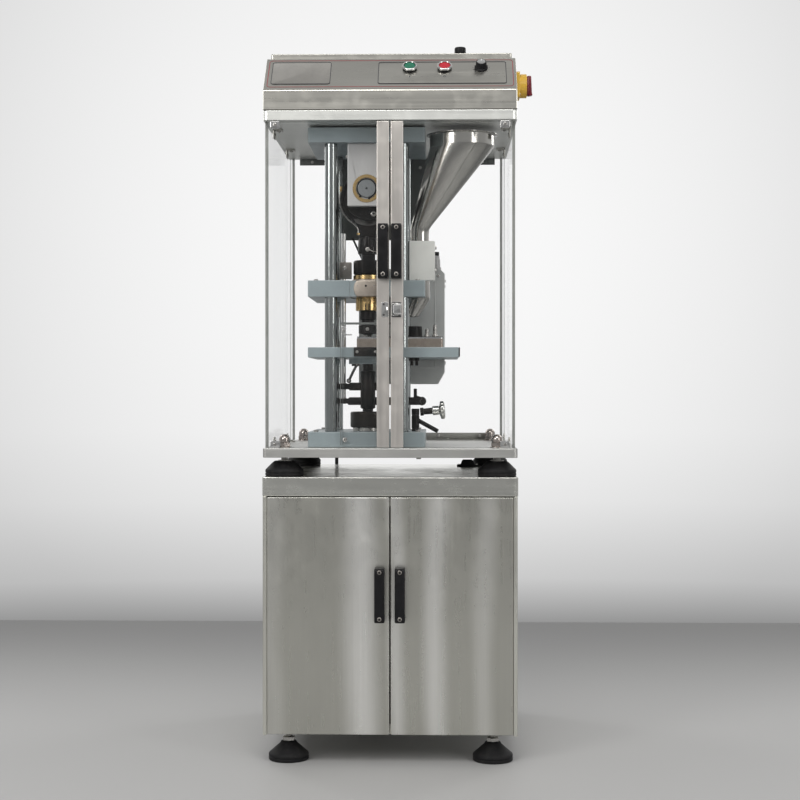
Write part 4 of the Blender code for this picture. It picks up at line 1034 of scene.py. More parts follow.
def build_case_fixings():
    """The angle rail and corner blocks that hold the fixed clear sheets on the base plate."""
    plate = PLATE_HIGH.z
    base = plate + 0.0004
    inner = edges_of("panel_back")[0].y
    left = edges_of("panel_left")[1].x
    right = edges_of("panel_right")[0].x
    rail = Piece("rear_angle_rail", "frame", RAIL_STEEL, SCREW_STEEL)
    rail.block((left + 0.03, inner - 0.0024, base), (right - 0.03, inner - 0.0004, plate + 0.0165), 0.0004)
    rail.block((left + 0.03, inner - 0.018, base), (right - 0.03, inner - 0.002, plate + 0.0024), 0.0004)
    for step in range(5):
        x = left + 0.05 + (right - left - 0.1) * step / 4
        rail.paint(1).cap_screw((x, inner - 0.0024, plate + 0.0095), FRONT, 0.0034, 0.0022)
        rail.cap_screw((x + 0.02, inner - 0.0105, plate + 0.0024), UP, 0.0034, 0.0022)
    rail.done()
    for side, x, label in ((1, left, "left"), (-1, right, "right")):
        brackets = Piece(f"side_brackets_{label}", "frame", HEAD_STEEL, SCREW_STEEL)
        near, face, tip = x + side * 0.0004, x + side * 0.0024, x + side * 0.018
        for y in (-0.15, 0.11):
            for z, up in ((base, 1), (edges_of(f"panel_{label}")[1].z - 0.0004, -1)):
                brackets.paint(0).block((near, y - 0.014, z), (face, y + 0.014, z + up * 0.018), 0.0004)
                brackets.block((near, y - 0.014, z), (tip, y + 0.014, z + up * 0.002), 0.0004)
                brackets.paint(1).cap_screw((face, y, z + up * 0.011), (side, 0, 0), 0.0034, 0.0022)
                brackets.cap_screw((x + side * 0.011, y, z + up * 0.002), (0, 0, up), 0.0034, 0.0022)
        brackets.done()


def build_latch():
    """Toggle latch: plate and bail on the right stile, lever over them, hooked keeper on the left stile."""
    low, high = edges_of("latch_lever")
    face = edges_of("door_stile_right")[0].y
    back, front = face - 0.0002, face - 0.0014
    z_low, z_high = low.z - 0.002, high.z + 0.002
    middle = (z_low + z_high) / 2
    plate = Piece("latch_plate", "right_door", CLAMP_DARK, SCREW_STEEL)
    plate.block((low.x - 0.001, front, z_low), (high.x + 0.0005, back, z_high), 0.0003, 2, 0.0022, 1)
    for z in (z_low + 0.004, z_high - 0.004):
        plate.paint(1).cap_screw((high.x - 0.005, front, z), FRONT, 0.002, 0.0008)
    bar = [(low.x + 0.0136, face - 0.0028, z) for z in (z_low + 0.0006, z_high - 0.0006)]
    plate.paint(0).tube(bar, 0.0012, 12)
    plate.done()
    lever = Piece("latch_handle", "latch", CHROME)
    top = low.y + 0.0011
    lever.block((low.x + 0.0022, low.y, low.z + 0.004), (high.x, top, high.z - 0.004), 0.0004, 2, 0.0018, 1)
    for z in (low.z + 0.002, high.z - 0.0028):
        lever.block((low.x + 0.006, low.y, z), (high.x, high.y, z + 0.0008), 0.0003, 2, 0.0012, 1)
    for z in (low.z + 0.0022, high.z - 0.0042):
        lever.block((low.x + 0.0045, low.y, z), (high.x, top, z + 0.002), 0.0003)
    lever.tube([(low.x + 0.0026, low.y + 0.0006, middle + offset) for offset in (-0.0068, 0.0068)], 0.001, 12)
    corners = ((0.012, 0.003), (0.001, 0.003), (-0.0002, 0.0045))
    bail = [(low.x + x, low.y + 0.0028, z_low + inset) for x, inset in corners]
    bail += [(low.x + x, low.y + 0.0028, z_high - inset) for x, inset in reversed(corners)]
    lever.tube(smooth(bail, 0.0012), 0.0008, 10)
    lever.done("latch_lever")
    keeper = Piece("latch_keeper", "left_door", CHROME, CLAMP_DARK)
    right = edges_of("door_stile_left")[1].x - 0.0012
    keeper.block((right - 0.0135, front, z_low), (right, back, z_high), 0.0003, 2, 0.0022, 1)
    hook = mm(-1.6, -1.4, -1.6, -5.2, -4.2, -6.2, -5.2, -5.2, -3, -4.2, -3, -1.4)
    keeper.plate(hook, 0.01, Matrix.Translation((right, face, middle - 0.005)), 0.0003)
    for z in (z_low + 0.0042, z_high - 0.0042):
        keeper.paint(1).cap_screw((right - 0.009, front, z), FRONT, 0.0021, 0.0009)
    keeper.done()


# ---------------------------------------------------------------- control head

HOUSING_LOW, HOUSING_HIGH = edges_of("control_housing")
SLOPE_FOOT = 1.296
CONTROL_ROW = 0.07
COS_45 = math.cos(math.radians(45))
OUT_OF_SLOPE = (0, -COS_45, COS_45)
NAME_FIELD = (-0.231, 0.019, -0.116, 0.093)
CONTROL_FIELD = (-0.024, 0.019, 0.2246, 0.093)
SMALL_DOME = mm(0, 1.6, 1.8, 1.5, 3.2, 0.8, 3.4, 0, 0, 0)
PLATE_CORNER = 0.005
LABEL = 0.0002


def slope_matrix(across, along, out=0.0):
    """Takes a flat shape onto the sloped face: its X runs across, its Y up the slope, its Z out of it."""
    x, y, z = on_slope(across, along, out)
    return Matrix(((1, 0, 0, x), (0, COS_45, -COS_45, y), (0, COS_45, COS_45, z), (0, 0, 0, 1)))


def on_slope(across, along, out=0.0):
    return Vector((across, HOUSING_LOW.y + (along - out) * COS_45, SLOPE_FOOT + (along + out) * COS_45))


def build_slope_panel():
    """Name field and control field on the sloped face: thin printed lines, plates left blank."""
    half = HOUSING_HIGH.x - 0.006
    face = slope_matrix(0, 0, 0.0001)
    line = Piece("slope_line", "frame", LINE_RED)
    line.frame_line((-half, 0.0095, half, 0.1), 0.007, 0.0012, 0.00015, face).done()
    name_plate = Piece("name_plate", "frame", PLATE_STEEL)
    name_plate.plate(rounded_outline(*NAME_FIELD, PLATE_CORNER), 0.0006, face, 0.0002).done()
    field = Piece("control_plate", "frame", HEAD_STEEL)
    field.plate(rounded_outline(*CONTROL_FIELD, PLATE_CORNER), 0.0004, face, 0.0002).done()
    dark = Piece("plate_lines", "frame", DARK_PRINT_AND_SLOT_SHADE)
    for box in (NAME_FIELD, CONTROL_FIELD):
        dark.frame_line(box, PLATE_CORNER, 0.0011, 0.0008, face)
    bar = rounded_outline(-0.0006, -0.0028, 0.0006, 0.0028, 0.0003, 2)
    dark.plate(bar, LABEL, slope_matrix(middle_of("start_button").x, 0.043, 0.0004), 0)
    ring = slope_matrix(middle_of("stop_button").x, 0.043, 0.0004)
    dark.frame_line((-0.0028, -0.0028, 0.0028, 0.0028), 0.0028, 0.001, LABEL, ring)
    knob = slope_matrix(middle_of("speed_knob").x, CONTROL_ROW, 0.0004)
    for tick in range(11):
        turn = knob @ Matrix.Rotation(math.radians(225 - 27 * tick), 4, "Z")
        end = 0.0182 if tick % 5 == 0 else 0.017
        dark.plate(rounded_outline(0.015, -0.0004, end, 0.0004, 0.0002, 1), LABEL, turn, 0)
    dark.done()


def build_buttons():
    """22 mm push-buttons: black collar, chromed 30 mm bezel, dished coloured cap that moves in it."""
    collar = mm(11.3, 0.5, 11.3, 4.2, 13.4, 4.2, 13.8, 3.8, 13.8, 0.5, 11.3, 0.5)
    rim = mm(11.3, 4.3, 11.3, 8.2, 11.8, 8.8, 12.8, 9, 14, 8.4, 14.8, 7.2, 15, 6, 14.9, 5, 14.2, 4.3,
             11.3, 4.3)
    dish = mm(0, 6.4, 5, 6.6, 8.2, 7.2, 9.4, 7.7, 10.3, 7.5, 10.8, 6.6, 10.8, -1, 0, -1)
    body = mm(10, -1.2, 10, -16, 0, -16, 0, -1.2, 10, -1.2)
    for label, finish in (("start", GREEN), ("stop", RED)):
        at = on_slope(middle_of(f"{label}_button").x, CONTROL_ROW)
        bezel = Piece(f"{label}_bezel", "frame", CHROME, BLACK_PLASTIC)
        bezel.paint(1).turned(collar, at, OUT_OF_SLOPE, 64)
        bezel.paint(0).turned(rim, at, OUT_OF_SLOPE, 72).done()
        cap = Piece(f"{label}_cap", label, finish, BLACK_PLASTIC)
        cap.turned(dish, at, OUT_OF_SLOPE, 64)
        cap.paint(1).turned(body, at, OUT_OF_SLOPE, 32).done(f"{label}_button")


def build_knob():
    """Speed knob: fluted skirt, spun metal top and a pale pointer line."""
    across = middle_of("speed_knob").x
    at = on_slope(across, CONTROL_ROW)

    def fluted(angle, height):
        return 1.0 - 0.05 * max(0.0, math.cos(angle * 18)) * (0.004 < height < 0.0155)

    knob = Piece("speed_dial", "speed", BLACK_PLASTIC, CHROME, LINE_PALE)
    skirt = mm(0, 16, 8.2, 16, 9.2, 15.8, 10, 14.8, 10.6, 6, 11, 4.5, 12.8, 3.6, 13, 3, 13, 0.8, 0, 0.8)
    knob.turned(skirt, at, OUT_OF_SLOPE, 108, fluted)
    knob.paint(1).turned(mm(0, 16.6, 7, 16.6, 7.8, 16.3, 8, 15.9, 0, 15.9), at, OUT_OF_SLOPE, 48).paint(2)
    for low, high, out in ((0.001, 0.0074, 0.0166), (0.0102, 0.0126, 0.0037)):
        pointer = rounded_outline(-0.0006, low, 0.0006, high, 0.0003, 2)
        knob.plate(pointer, LABEL, slope_matrix(across, CONTROL_ROW, out), 0)
    knob.done("speed_knob")


def build_top_cap():
    """Round knurled cap on the top cover, with a flat base ring and a shallow recessed top."""
    at, _, low, high = upright("top_cap")
    tall = high - low

    def knurl(angle, height):
        return 1.0 - 0.035 * max(0.0, math.cos(angle * 26)) * (0.005 < height < tall - 0.0022)

    crown = pairs(0, tall - 0.0006, 0.007, tall - 0.0006, 0.0078, tall, 0.0098, tall, 0.0108, tall - 0.0008,
                  0.0113, tall - 0.0024)
    base = mm(11.4, 5, 10.8, 4.2, 10.8, 3.6, 12.8, 3.3, 13, 2.8, 13, 0, 0, 0)
    cap = Piece("cover_cap", "cap", BLACK_PLASTIC)
    cap.turned(crown + base, (*at[:2], low), UP, 104, knurl).done("top_cap")


def grip_turn(x, y, z):
    """Takes a flat outline onto the switch plate: X runs up, Y out of the plate, its thickness back."""
    return Matrix(((0, 1, 0, x), (0, 0, 1, y), (1, 0, 0, z), (0, 0, 0, 1)))


def build_main_switch():
    """Rotary main switch: screws in the yellow plate, ring round the boss, red handle with a raised grip."""
    plate_low, plate_high = edges_of("switch_plate")
    low, high = edges_of("switch_handle")
    y, z = middle_of("switch_plate").yz
    reach = high.x - low.x
    screws = Piece("switch_screws", "frame", SCREW_STEEL, YELLOW)
    for side in SIDES:
        for up in SIDES:
            at = (plate_low.x + 0.0091, y + side * 0.0195, z + up * 0.0195)
            screws.cap_screw(at, RIGHT, 0.0026, 0.001)
    ring = mm(21.5, 0, 21.5, 1, 22.8, 1, 23.5, 0.3, 23.5, 0, 21.5, 0)
    screws.paint(1).turned(ring, (plate_high.x - 0.0009, y, z), RIGHT, 64).done()
    handle = Piece("switch_grip", "main_switch", DARK_RED, LINE_PALE)
    disc = mm(0, 3.8, 18.6, 3.8, 19.7, 3, 20, 2, 20, 0.4, 19.6, 0, 0, 0)
    handle.turned(disc, (low.x, y, z), RIGHT, 72)
    side = pairs(-0.02, 0.003, 0.02, 0.003, 0.0192, reach - 0.0026, -0.014, reach - 0.0012, -0.0182, reach)
    handle.plate(side, 0.014, grip_turn(low.x, y - 0.007, z), 0.0012, 3)
    mark = mm(6, 0, 16.5, 0, 16.5, 0.6, 6, 1)
    handle.paint(1).plate(mark, 0.0014, grip_turn(high.x - 0.0029, y - 0.0007, z), 0).done("switch_handle")


def build_head_fixings():
    """Screws, seams, rear vents and a blank rating plate on the control head."""
    low, high = HOUSING_LOW, HOUSING_HIGH
    rim_low, rim_high = edges_of("head_base")
    row = low.z + 0.012
    screws = Piece("head_screws", "frame", SCREW_STEEL)
    for side in SIDES:
        for y in (-0.235, 0.0, 0.235):
            screws.turned(SMALL_DOME, (high.x * side + side * 0.0001, y, row), (side, 0, 0), 24)
    for x in (-0.205, 0.0, 0.205):
        screws.turned(SMALL_DOME, (x, high.y + 0.0001, row), BACK, 24)
        for y in (-0.16, 0.225):
            screws.turned(SMALL_DOME, (x, y, high.z + 0.0001), UP, 24)
    screws.done()
    inset = 0.0016
    seam = (rim_low.x + inset, rim_low.y + inset, rim_high.x - inset, rim_high.y - inset)
    on_rim = Matrix.Translation((0, 0, rim_high.z + 0.0001))
    gap = low.z - rim_high.z - 0.0002
    Piece("head_gasket", "frame", RUBBER).frame_line(seam, 0.0075, 0.004, gap, on_rim).done()
    vents = Piece("rear_vents", "frame", HEAD_STEEL, DARK_PRINT_AND_SLOT_SHADE)
    for row in range(7):
        z = low.z + 0.03 + row * 0.0085
        hood = [(0.06, high.y - 0.0006, z), (0.062, high.y + 0.0012, z), (0.158, high.y + 0.0012, z),
                (0.16, high.y - 0.0006, z)]
        vents.paint(0).tube(smooth(hood, 0.004), 0.0016, 10)
        # Painted shade: a dark strip under each hood stands for the vent's dark opening
        vents.paint(1).block((0.062, high.y, z - 0.0032), (0.158, high.y + 0.0003, z - 0.0014), 0.0001, 1)
    vents.done()
    rating = Piece("rating_plate", "frame", ALUMINIUM, SCREW_STEEL)
    x, z = -0.04, low.z + 0.052
    turn = Matrix(((-1, 0, 0, x), (0, 0, 1, high.y + 0.0001), (0, 1, 0, z), (0, 0, 0, 1)))
    rating.plate(rounded_outline(-0.035, -0.02, 0.035, 0.02, 0.003), 0.0006, turn, 0.0002)
    for side in SIDES:
        for up in SIDES:
            at = (x + side * 0.0315, high.y + 0.0007, z + up * 0.0165)
            rating.paint(1).turned(mm(0, 0.8, 1.2, 0.6, 1.7, 0, 0, 0), at, BACK, 16)
    rating.done()


# ---------------------------------------------------------------- press frame and drive

PUNCH_X, PUNCH_Y = -0.048, -0.135
PUNCH = (PUNCH_X, PUNCH_Y, 0)
SHAFT_Z = 1.116
STRAP_Z = 1.101
PULLEY_Y = 0.058
BIG_RADIUS = 0.065
SMALL_RADIUS = 0.022
MOTOR_X, MOTOR_Z = 0.026, 0.85
POST_X = 0.047
MID_LOW, MID_HIGH = edges_of("mid_platen")
TABLE_LOW, TABLE_HIGH = edges_of("die_table")


def disc(radius, low, high, ease=0.0008):
    """The profile of a solid disc with eased rims."""
    inner = radius - ease
    return pairs(0, high, inner, high, radius, high - ease, radius, low + ease, inner, low, 0, low)


def ring_profile(inner, outer, low, high, ease=0.0006):
    """The profile of a ring with eased rims, closed on itself."""
    return pairs(inner, low + ease, inner, high - ease, inner + ease, high, outer - ease, high,
                 outer, high - ease, outer, low + ease, outer - ease, low, inner + ease, low,
                 inner, low + ease)


def ridges(depth, count, low, high, above=None, shift=0.0):
    """A form for Piece.turned between two heights: round ridges, or cut ones above a value of the wave."""

    def form(angle, height):
        wave = math.cos(angle * count + shift)
        return 1.0 - depth * (max(0.0, wave) if above is None else wave > above) * (low < height < high)

    return form


def build_columns():
    """Ground columns with turned-down ends and a fine oil groove near each end."""
    for name in named("column_"):
        at, radius, low, high = upright(name)
        inner, groove = radius - 0.0008, radius - 0.0004
        profile = pairs(0, high, inner, high, radius, high - 0.0008)
        for z in (high - 0.006, low + 0.006):
            profile += pairs(radius, z + 0.0006, groove, z + 0.0003, groove, z - 0.0003, radius, z - 0.0006)
        profile += pairs(radius, low + 0.0008, inner, low, 0, low)
        Piece("ground_" + name, "frame", COLUMN_STEEL).turned(profile, at, UP, 64).done(name)


def build_shaft_bush():
    """Brass bush in the front cheek of the bearing block, and the block's screws."""
    bush = Piece("shaft_bush", "frame", BRASS)
    at = (PUNCH_X, edges_of("bearing_block")[0].y, SHAFT_Z)
    bush.turned(ring_profile(0.0207, 0.0275, 0.0001, 0.0014, 0.0005), at, FRONT, 72).done()
    screws = Piece("block_screws", "frame", SCREW_STEEL)
    for y in (-0.178, 0.02):
        for side in SIDES:
            screws.cap_screw((PUNCH_X + side * 0.0381, y, 1.18), (side, 0, 0), 0.0042, 0.003)
    screws.done()


def build_crankshaft():
    """Shaft with a centre hole and circlip, two offset webs and the dished pulley."""
    finishes = (SHAFT_STEEL, BLACK_STEEL, BLACK_PLASTIC, SCREW_STEEL, GROUND_STEEL)
    shaft = Piece("crank_assembly", "crank", *finishes)
    at = (PUNCH_X, 0, SHAFT_Z)
    nose = mm(0, -188, 1, -189, 1.2, -190, 2.2, -192, 16.5, -192, 17.4, -191.2, 17.4, -190.3, 16.8, -190.2,
              16.8, -189, 17.4, -188.9, 17.4, -155.2, 0, -155.2)
    for profile in (nose, disc(0.0174, -0.1148, 0.076), disc(0.0172, -0.1459, -0.1241, 0.0004)):
        shaft.turned(profile, at, BACK, 64)
    for y in (-0.155, -0.124):
        shaft.paint(1).turned(disc(0.0439, y, y + 0.009, 0.001), (PUNCH_X, 0, STRAP_Z), BACK, 96)
    pin = (PUNCH_X + 0.0125, -0.1551, 1.07)
    shaft.paint(3).cap_screw(pin, FRONT, 0.0052, 0.0022)
    shaft.paint(2).turned(mm(0, 0.1, 2.4, 0.1, 2.4, 1.2, 0, 1.2), pin, FRONT, 6)
    clip = arc((PUNCH_X, SHAFT_Z), 0.0186, -78, 228, 51)
    shaft.tube([(x, -0.1896, z) for x, z in clip], 0.0013, 10)
    for x, z in arc((PUNCH_X, SHAFT_Z), 0.02, -76, 230, 1):
        shaft.turned(mm(0, 1.3, 2, 1.2, 2.2, 0.8, 2.2, 0, 0, 0), (x, -0.1902, z), FRONT, 20)
    wheel = mm(26, 46.5, 30, 52, 54, 52, 57, 46.5, 64.3, 46.5, 64.8, 47, 65, 58, 64.8, 69, 64.3, 69.5,
               57, 69.5, 54, 64, 30, 64, 26, 69.5, 17.6, 69.5, 17.6, 46.5, 26, 46.5)
    shaft.paint(4).turned(wheel, at, BACK, 96).done("crankshaft")


def build_rod():
    """Eccentric strap, tapered neck and screw spindle, the lock plate before the nut, and the oil line."""
    rod = Piece("strap_and_rod", "ram", BLACK_STEEL, SCREW_STEEL, BRASS, SHAFT_STEEL)
    rod.turned(ring_profile(0.0341, 0.0539, -0.144, -0.126, 0.0012), (PUNCH_X, 0, STRAP_Z), BACK, 96)
    neck = mm(-30, 1062, -20, 1047, -16.5, 1036, -16, 1020, 16, 1020, 16.5, 1036, 20, 1047, 30, 1062)
    rod.plate(neck, 0.0178, front_turn(PUNCH_X, PUNCH_Y - 0.0089), 0.0012, 3)
    collar = mm(0, 1023.8, 15, 1023.8, 18.2, 1021.8, 19, 1019, 19.8, 1006, 20, 999, 20, 993, 19, 991.5,
                14, 991.2, 0, 991.2)
    rod.turned(collar, PUNCH, UP, 64)
    rod.paint(3).turned(threaded(0.0138, 0.916, 0.991, 0.003), PUNCH, UP, 48)
    rib = mm(-4.5, 996, 4.5, 996, 3.4, 1025.5, -3.4, 1025.5)
    rod.paint(0).plate(rib, 0.014, front_turn(PUNCH_X - 0.001, PUNCH_Y - 0.0222), 0.001, 2)
    rod.block((PUNCH_X - 0.01, -0.169, 0.952), (PUNCH_X + 0.016, -0.1646, 0.99), 0.001, 3, 0.003, 1)
    rod.block((PUNCH_X - 0.01, -0.169, 0.986), (PUNCH_X + 0.012, -0.153, 1.004), 0.001, 3)
    rod.paint(1).cap_screw((PUNCH_X + 0.001, -0.169, 0.998), FRONT, 0.0042, 0.0026)
    wire = ((0.003, -0.1702, 0.9975), (0.013, -0.17, 0.994), (0.033, -0.169, 0.99))
    rod.tube([(PUNCH_X + x, y, z) for x, y, z in wire], 0.0011, 10)
    oil = [(x, PUNCH_Y - 0.003, z) for x, z in arc((PUNCH_X, STRAP_Z), 0.0562, 160, 238, 13)]
    oil += [(-0.07, PUNCH_Y - 0.004, 1.0455), (-0.067, PUNCH_Y - 0.006, 1.04),
            (-0.0665, PUNCH_Y - 0.007, 1.033)]
    rod.tube(smooth(oil, 0.003), 0.0014, 12)
    rod.paint(2).hex_head((-0.101, PUNCH_Y - 0.003, 1.116), UP, 0.006, 0.0045)
    rod.turned(mm(0, 6, 2.2, 6, 2.8, 5, 2.8, 0, 0, 0), (-0.101, PUNCH_Y - 0.003, 1.1205), UP, 24)
    rod.hex_head((-0.0665, PUNCH_Y - 0.007, 1.029), UP, 0.0055, 0.0045)
    rod.done("connecting_rod")


def build_stroke_nut():
    """Fluted nut that sets how deep the punch goes."""

    def fluted(angle, height):
        return 1.0 - 0.05 * max(0.0, math.cos(angle * 16)) ** 2 * (0.953 < height < 0.975)

    profile = mm(14.6, 950, 14.6, 977.5, 15.2, 978, 26.6, 978, 28.4, 976.5, 28.8, 975, 28.8, 953, 28.4, 951.2,
                 26.6, 949.8, 15.2, 949.8, 14.6, 950)
    nut = Piece("fluted_stroke_nut", "stroke_adjuster", NUT_BLACK)
    nut.turned(profile, PUNCH, UP, 128, fluted).done("stroke_nut")


def build_guide():
    """Guide for the punch sleeve: turned body in the platen's notch, with a brass ring on top."""
    guide = Piece("guide_body", "frame", GUIDE_STEEL, BRASS, BLACK_PLASTIC, SCREW_STEEL, PLATEN_PAINT)
    guide.turned(ring_profile(0.0253, 0.0319, 0.9052, 0.9398, 0.001), PUNCH, UP, 96)
    ribbed = ridges(0.045, 10, 0.9412, 0.948, 0.35)
    guide.paint(1).turned(ring_profile(0.0253, 0.0289, 0.9402, 0.9484, 0.0004), PUNCH, UP, 120, ribbed)
    middle = (MID_LOW.z + MID_HIGH.z) / 2
    half = (MID_HIGH.z - MID_LOW.z) / 2 - 0.0006
    radius = 0.0245
    reach = math.degrees(math.asin(half / radius))
    face = arc((0, middle), radius, -reach, reach, 16)
    face += arc((0, middle), radius, 180 - reach, 180 + reach, 16)
    guide.paint(0).plate(face, 0.031, front_turn(PUNCH_X, MID_LOW.y - 0.0002), 0.001, 3)
    near = arc((0, middle), radius + 0.0004, -reach, reach, 16)
    for side in SIDES:
        filler = pairs(0.0319, middle + half, 0.0319, middle - half) + near
        outline = [(side * x, z) for x, z in filler]
        guide.paint(4).plate(outline, 0.03, front_turn(PUNCH_X, MID_LOW.y + 0.0006), 0)
    front = MID_LOW.y - 0.0002
    across = PUNCH_X - 0.001
    guide.paint(2).turned(mm(0, 0.4, 2, 0.4, 2.2, 0, 0, 0), (across, front, 0.924), FRONT, 24).paint(3)
    for side in SIDES:
        guide.turned(mm(0, 0.3, 1, 0.3, 1.3, 0, 0, 0), (across + side * 0.016, front, 0.924), FRONT, 20)
    guide.done("punch_guide")


def build_upper_punch():
    """Brass-faced sleeve with flutes and a keyway, black holder with its clamp collar, polished punch tip."""
    punch = Piece("punch_and_holder", "ram", BRASS, BLACK_STEEL, CHROME, BLACK_PLASTIC, SCREW_STEEL)
    sleeve = mm(0, 914.8, 23.2, 914.8, 24.2, 914, 24.2, 904.2, 24.2, 903.8, 24.2, 879, 23.4, 878.2, 0, 878.2)
    punch.turned(sleeve, PUNCH, UP, 180, ridges(0.07, 9, 0, 0.904, 0.55, 0.6))
    keyway = [(-0.0046, 0), *arc((0, 0.0105), 0.0046, 180, 0, 12), (0.0046, 0)]
    turn = Matrix(((1, 0, 0, PUNCH_X), (0, 0, -1, PUNCH_Y - 0.023), (0, 1, 0, 0.8786), (0, 0, 0, 1)))
    punch.paint(3).plate(keyway, 0.0011, turn, 0.0002)
    holder = mm(0, 877.6, 15.2, 877.6, 16, 876.6, 16, 861.8, 15.2, 860.8, 13, 860, 13, 850, 17.6, 849.2,
                18.5, 848.2, 18.5, 834, 17.6, 833, 11, 831.8, 0, 831.8)
    punch.paint(1).turned(holder, PUNCH, UP, 72)
    punch.paint(4).cap_screw((PUNCH_X, PUNCH_Y - 0.0184, 0.841), FRONT, 0.0034, 0.0014)
    tip = edges_of("upper_punch")[0].z
    point = mm(0, 831.6, 9.2, 831.6, 9.8, 830.8, 7, 829, 6.2, 824)
    point += pairs(0.006, tip + 0.0008, 0.0056, tip, 0, tip)
    punch.paint(2).turned(point, PUNCH, UP, 56).done("upper_punch")


def build_motor():
    """Motor pulley with its shaft, and the finned motor inside the cover."""
    pulley = Piece("turned_motor_pulley", "motor_shaft", GROUND_STEEL, BLACK_STEEL)
    wheel = mm(0, 14, 21.6, 14, 22, 13.6, 21.8, 2, 22, -9.6, 21.6, -10, 10, -10.4, 9.8, -50, 0, -50)
    pulley.turned(wheel, (MOTOR_X, PULLEY_Y, MOTOR_Z), FRONT, 72)
    pulley.paint(1).cap_screw((MOTOR_X, PULLEY_Y - 0.0141, MOTOR_Z), FRONT, 0.006, 0.0024)
    pulley.done("motor_pulley")
    motor = Piece("motor_body", "frame", GREY_PAINT, SCREW_STEEL)
    body = mm(0, 0, 42, 0, 48, 3, 50, 8, 50, 11.8, 50, 12.2, 50, 103.8, 50, 104.2, 48, 110, 40, 116, 0, 118)
    motor.turned(body, (MOTOR_X, 0.11, MOTOR_Z), BACK, 120, ridges(0.1, 20, 0.012, 0.104, 0.1)).paint(1)
    for x, z in arc((MOTOR_X, MOTOR_Z), 0.036, 45, 315, 3):
        motor.cap_screw((x, 0.1099, z), FRONT, 0.0034, 0.0024)
    low, high = MOTOR_X - 0.052, MOTOR_X + 0.052
    motor.paint(0).block((low, 0.125, MOTOR_Z - 0.07), (high, 0.205, MOTOR_Z - 0.064), 0.001)
    for side in SIDES:
        near, far = MOTOR_X + side * 0.03, MOTOR_X + side * 0.036
        motor.block((near, 0.13, MOTOR_Z - 0.066), (far, 0.2, MOTOR_Z - 0.032), 0.001)
    motor.done()


def build_motor_cover_details():
    """Seams, screws, terminal stack and rear vents of the motor cover."""
    low, high = edges_of("motor_housing")
    screws = Piece("cover_screws", "frame", SCREW_STEEL)
    for y in (low.y + 0.012, high.y - 0.012):
        for z in (low.z + 0.045, high.z - 0.025):
            for side, x in ((-1, low.x - 0.0001), (1, high.x + 0.0001)):
                screws.cap_screw((x, y, z), (side, 0, 0), 0.003, 0.0018)
    for x in (low.x + 0.012, high.x - 0.014):
        screws.cap_screw((x, low.y - 0.0001, high.z - 0.015), FRONT, 0.0028, 0.0016)
    screws.done()
    seams = Piece("cover_seams", "frame", WHITE_PAINT)
    near, far = low.y - 0.001, low.y - 0.0001
    seams.block((low.x + 0.012, near, 0.766), (high.x - 0.01, far, 0.769), 0.0003)
    seams.block((high.x - 0.022, near, 0.77), (high.x - 0.019, far, high.z - 0.01), 0.0003).done()
    stack = Piece("terminal_stack", "frame", GREY_PAINT, BLACK_PLASTIC)
    x, y = 0.088, low.y + 0.03
    steps = mm(0, 30, 6.2, 29.8, 7, 29, 7, 23, 8.5, 22.2, 8.5, 6, 10.5, 5.2, 10.5, 0.2, 0, 0.2)
    stack.turned(steps, (x, y, high.z), UP, 40)
    stack.paint(1).hex_head((x, y, high.z + 0.03), UP, 0.012, 0.008).done()
    vents = Piece("cover_vents", "frame", WHITE_PAINT, DARK_PRINT_AND_SLOT_SHADE)
    near, far = high.y + 0.0001, high.y + 0.0004
    for row in range(8):
        z = 0.8 + row * 0.012
        # Painted shade: a dark strip under each hood stands for the vent's dark opening
        vents.paint(1).block((-0.045, near, z - 0.002), (0.075, far, z + 0.0022), 0.0001, 1)
        vents.paint(0).tube([(x, high.y + 0.001, z + 0.0026) for x in (-0.045, 0.075)], 0.0011, 10)
    vents.done()


def build_belt():
    """Ribbed flat belt around both pulleys."""
    big, small = Vector((PUNCH_X, SHAFT_Z)), Vector((MOTOR_X, MOTOR_Z))
    line = big - small
    lean = math.degrees(math.atan2(line.y, line.x))
    spread = math.degrees(math.acos((BIG_RADIUS - SMALL_RADIUS) / line.length))
    wrap = 180 - spread
    half = 0.0088
    section = pairs(0.0013, -half, 0.0048, -half, 0.0053, -half + 0.0008)
    for rib in range(4):
        y = -half + 0.0034 + rib * 0.0036
        section += pairs(0.0053, y, 0.0049, y + 0.0006, 0.0049, y + 0.001, 0.0053, y + 0.0016)
    section += pairs(0.0053, half - 0.0008, 0.0048, half, 0.0013, half)
    rings = []
    for extra, y in section:
        loop = arc(big, BIG_RADIUS + extra, lean - wrap, lean + wrap, 60)
        loop += arc(small, SMALL_RADIUS + extra, lean + wrap, lean + wrap + 2 * spread, 30)
        rings.append([(x, PULLEY_Y + y, z) for x, z in loop])
    Piece("ribbed_belt", "frame", BELT_RUBBER).add(skin(rings)).done("drive_belt")


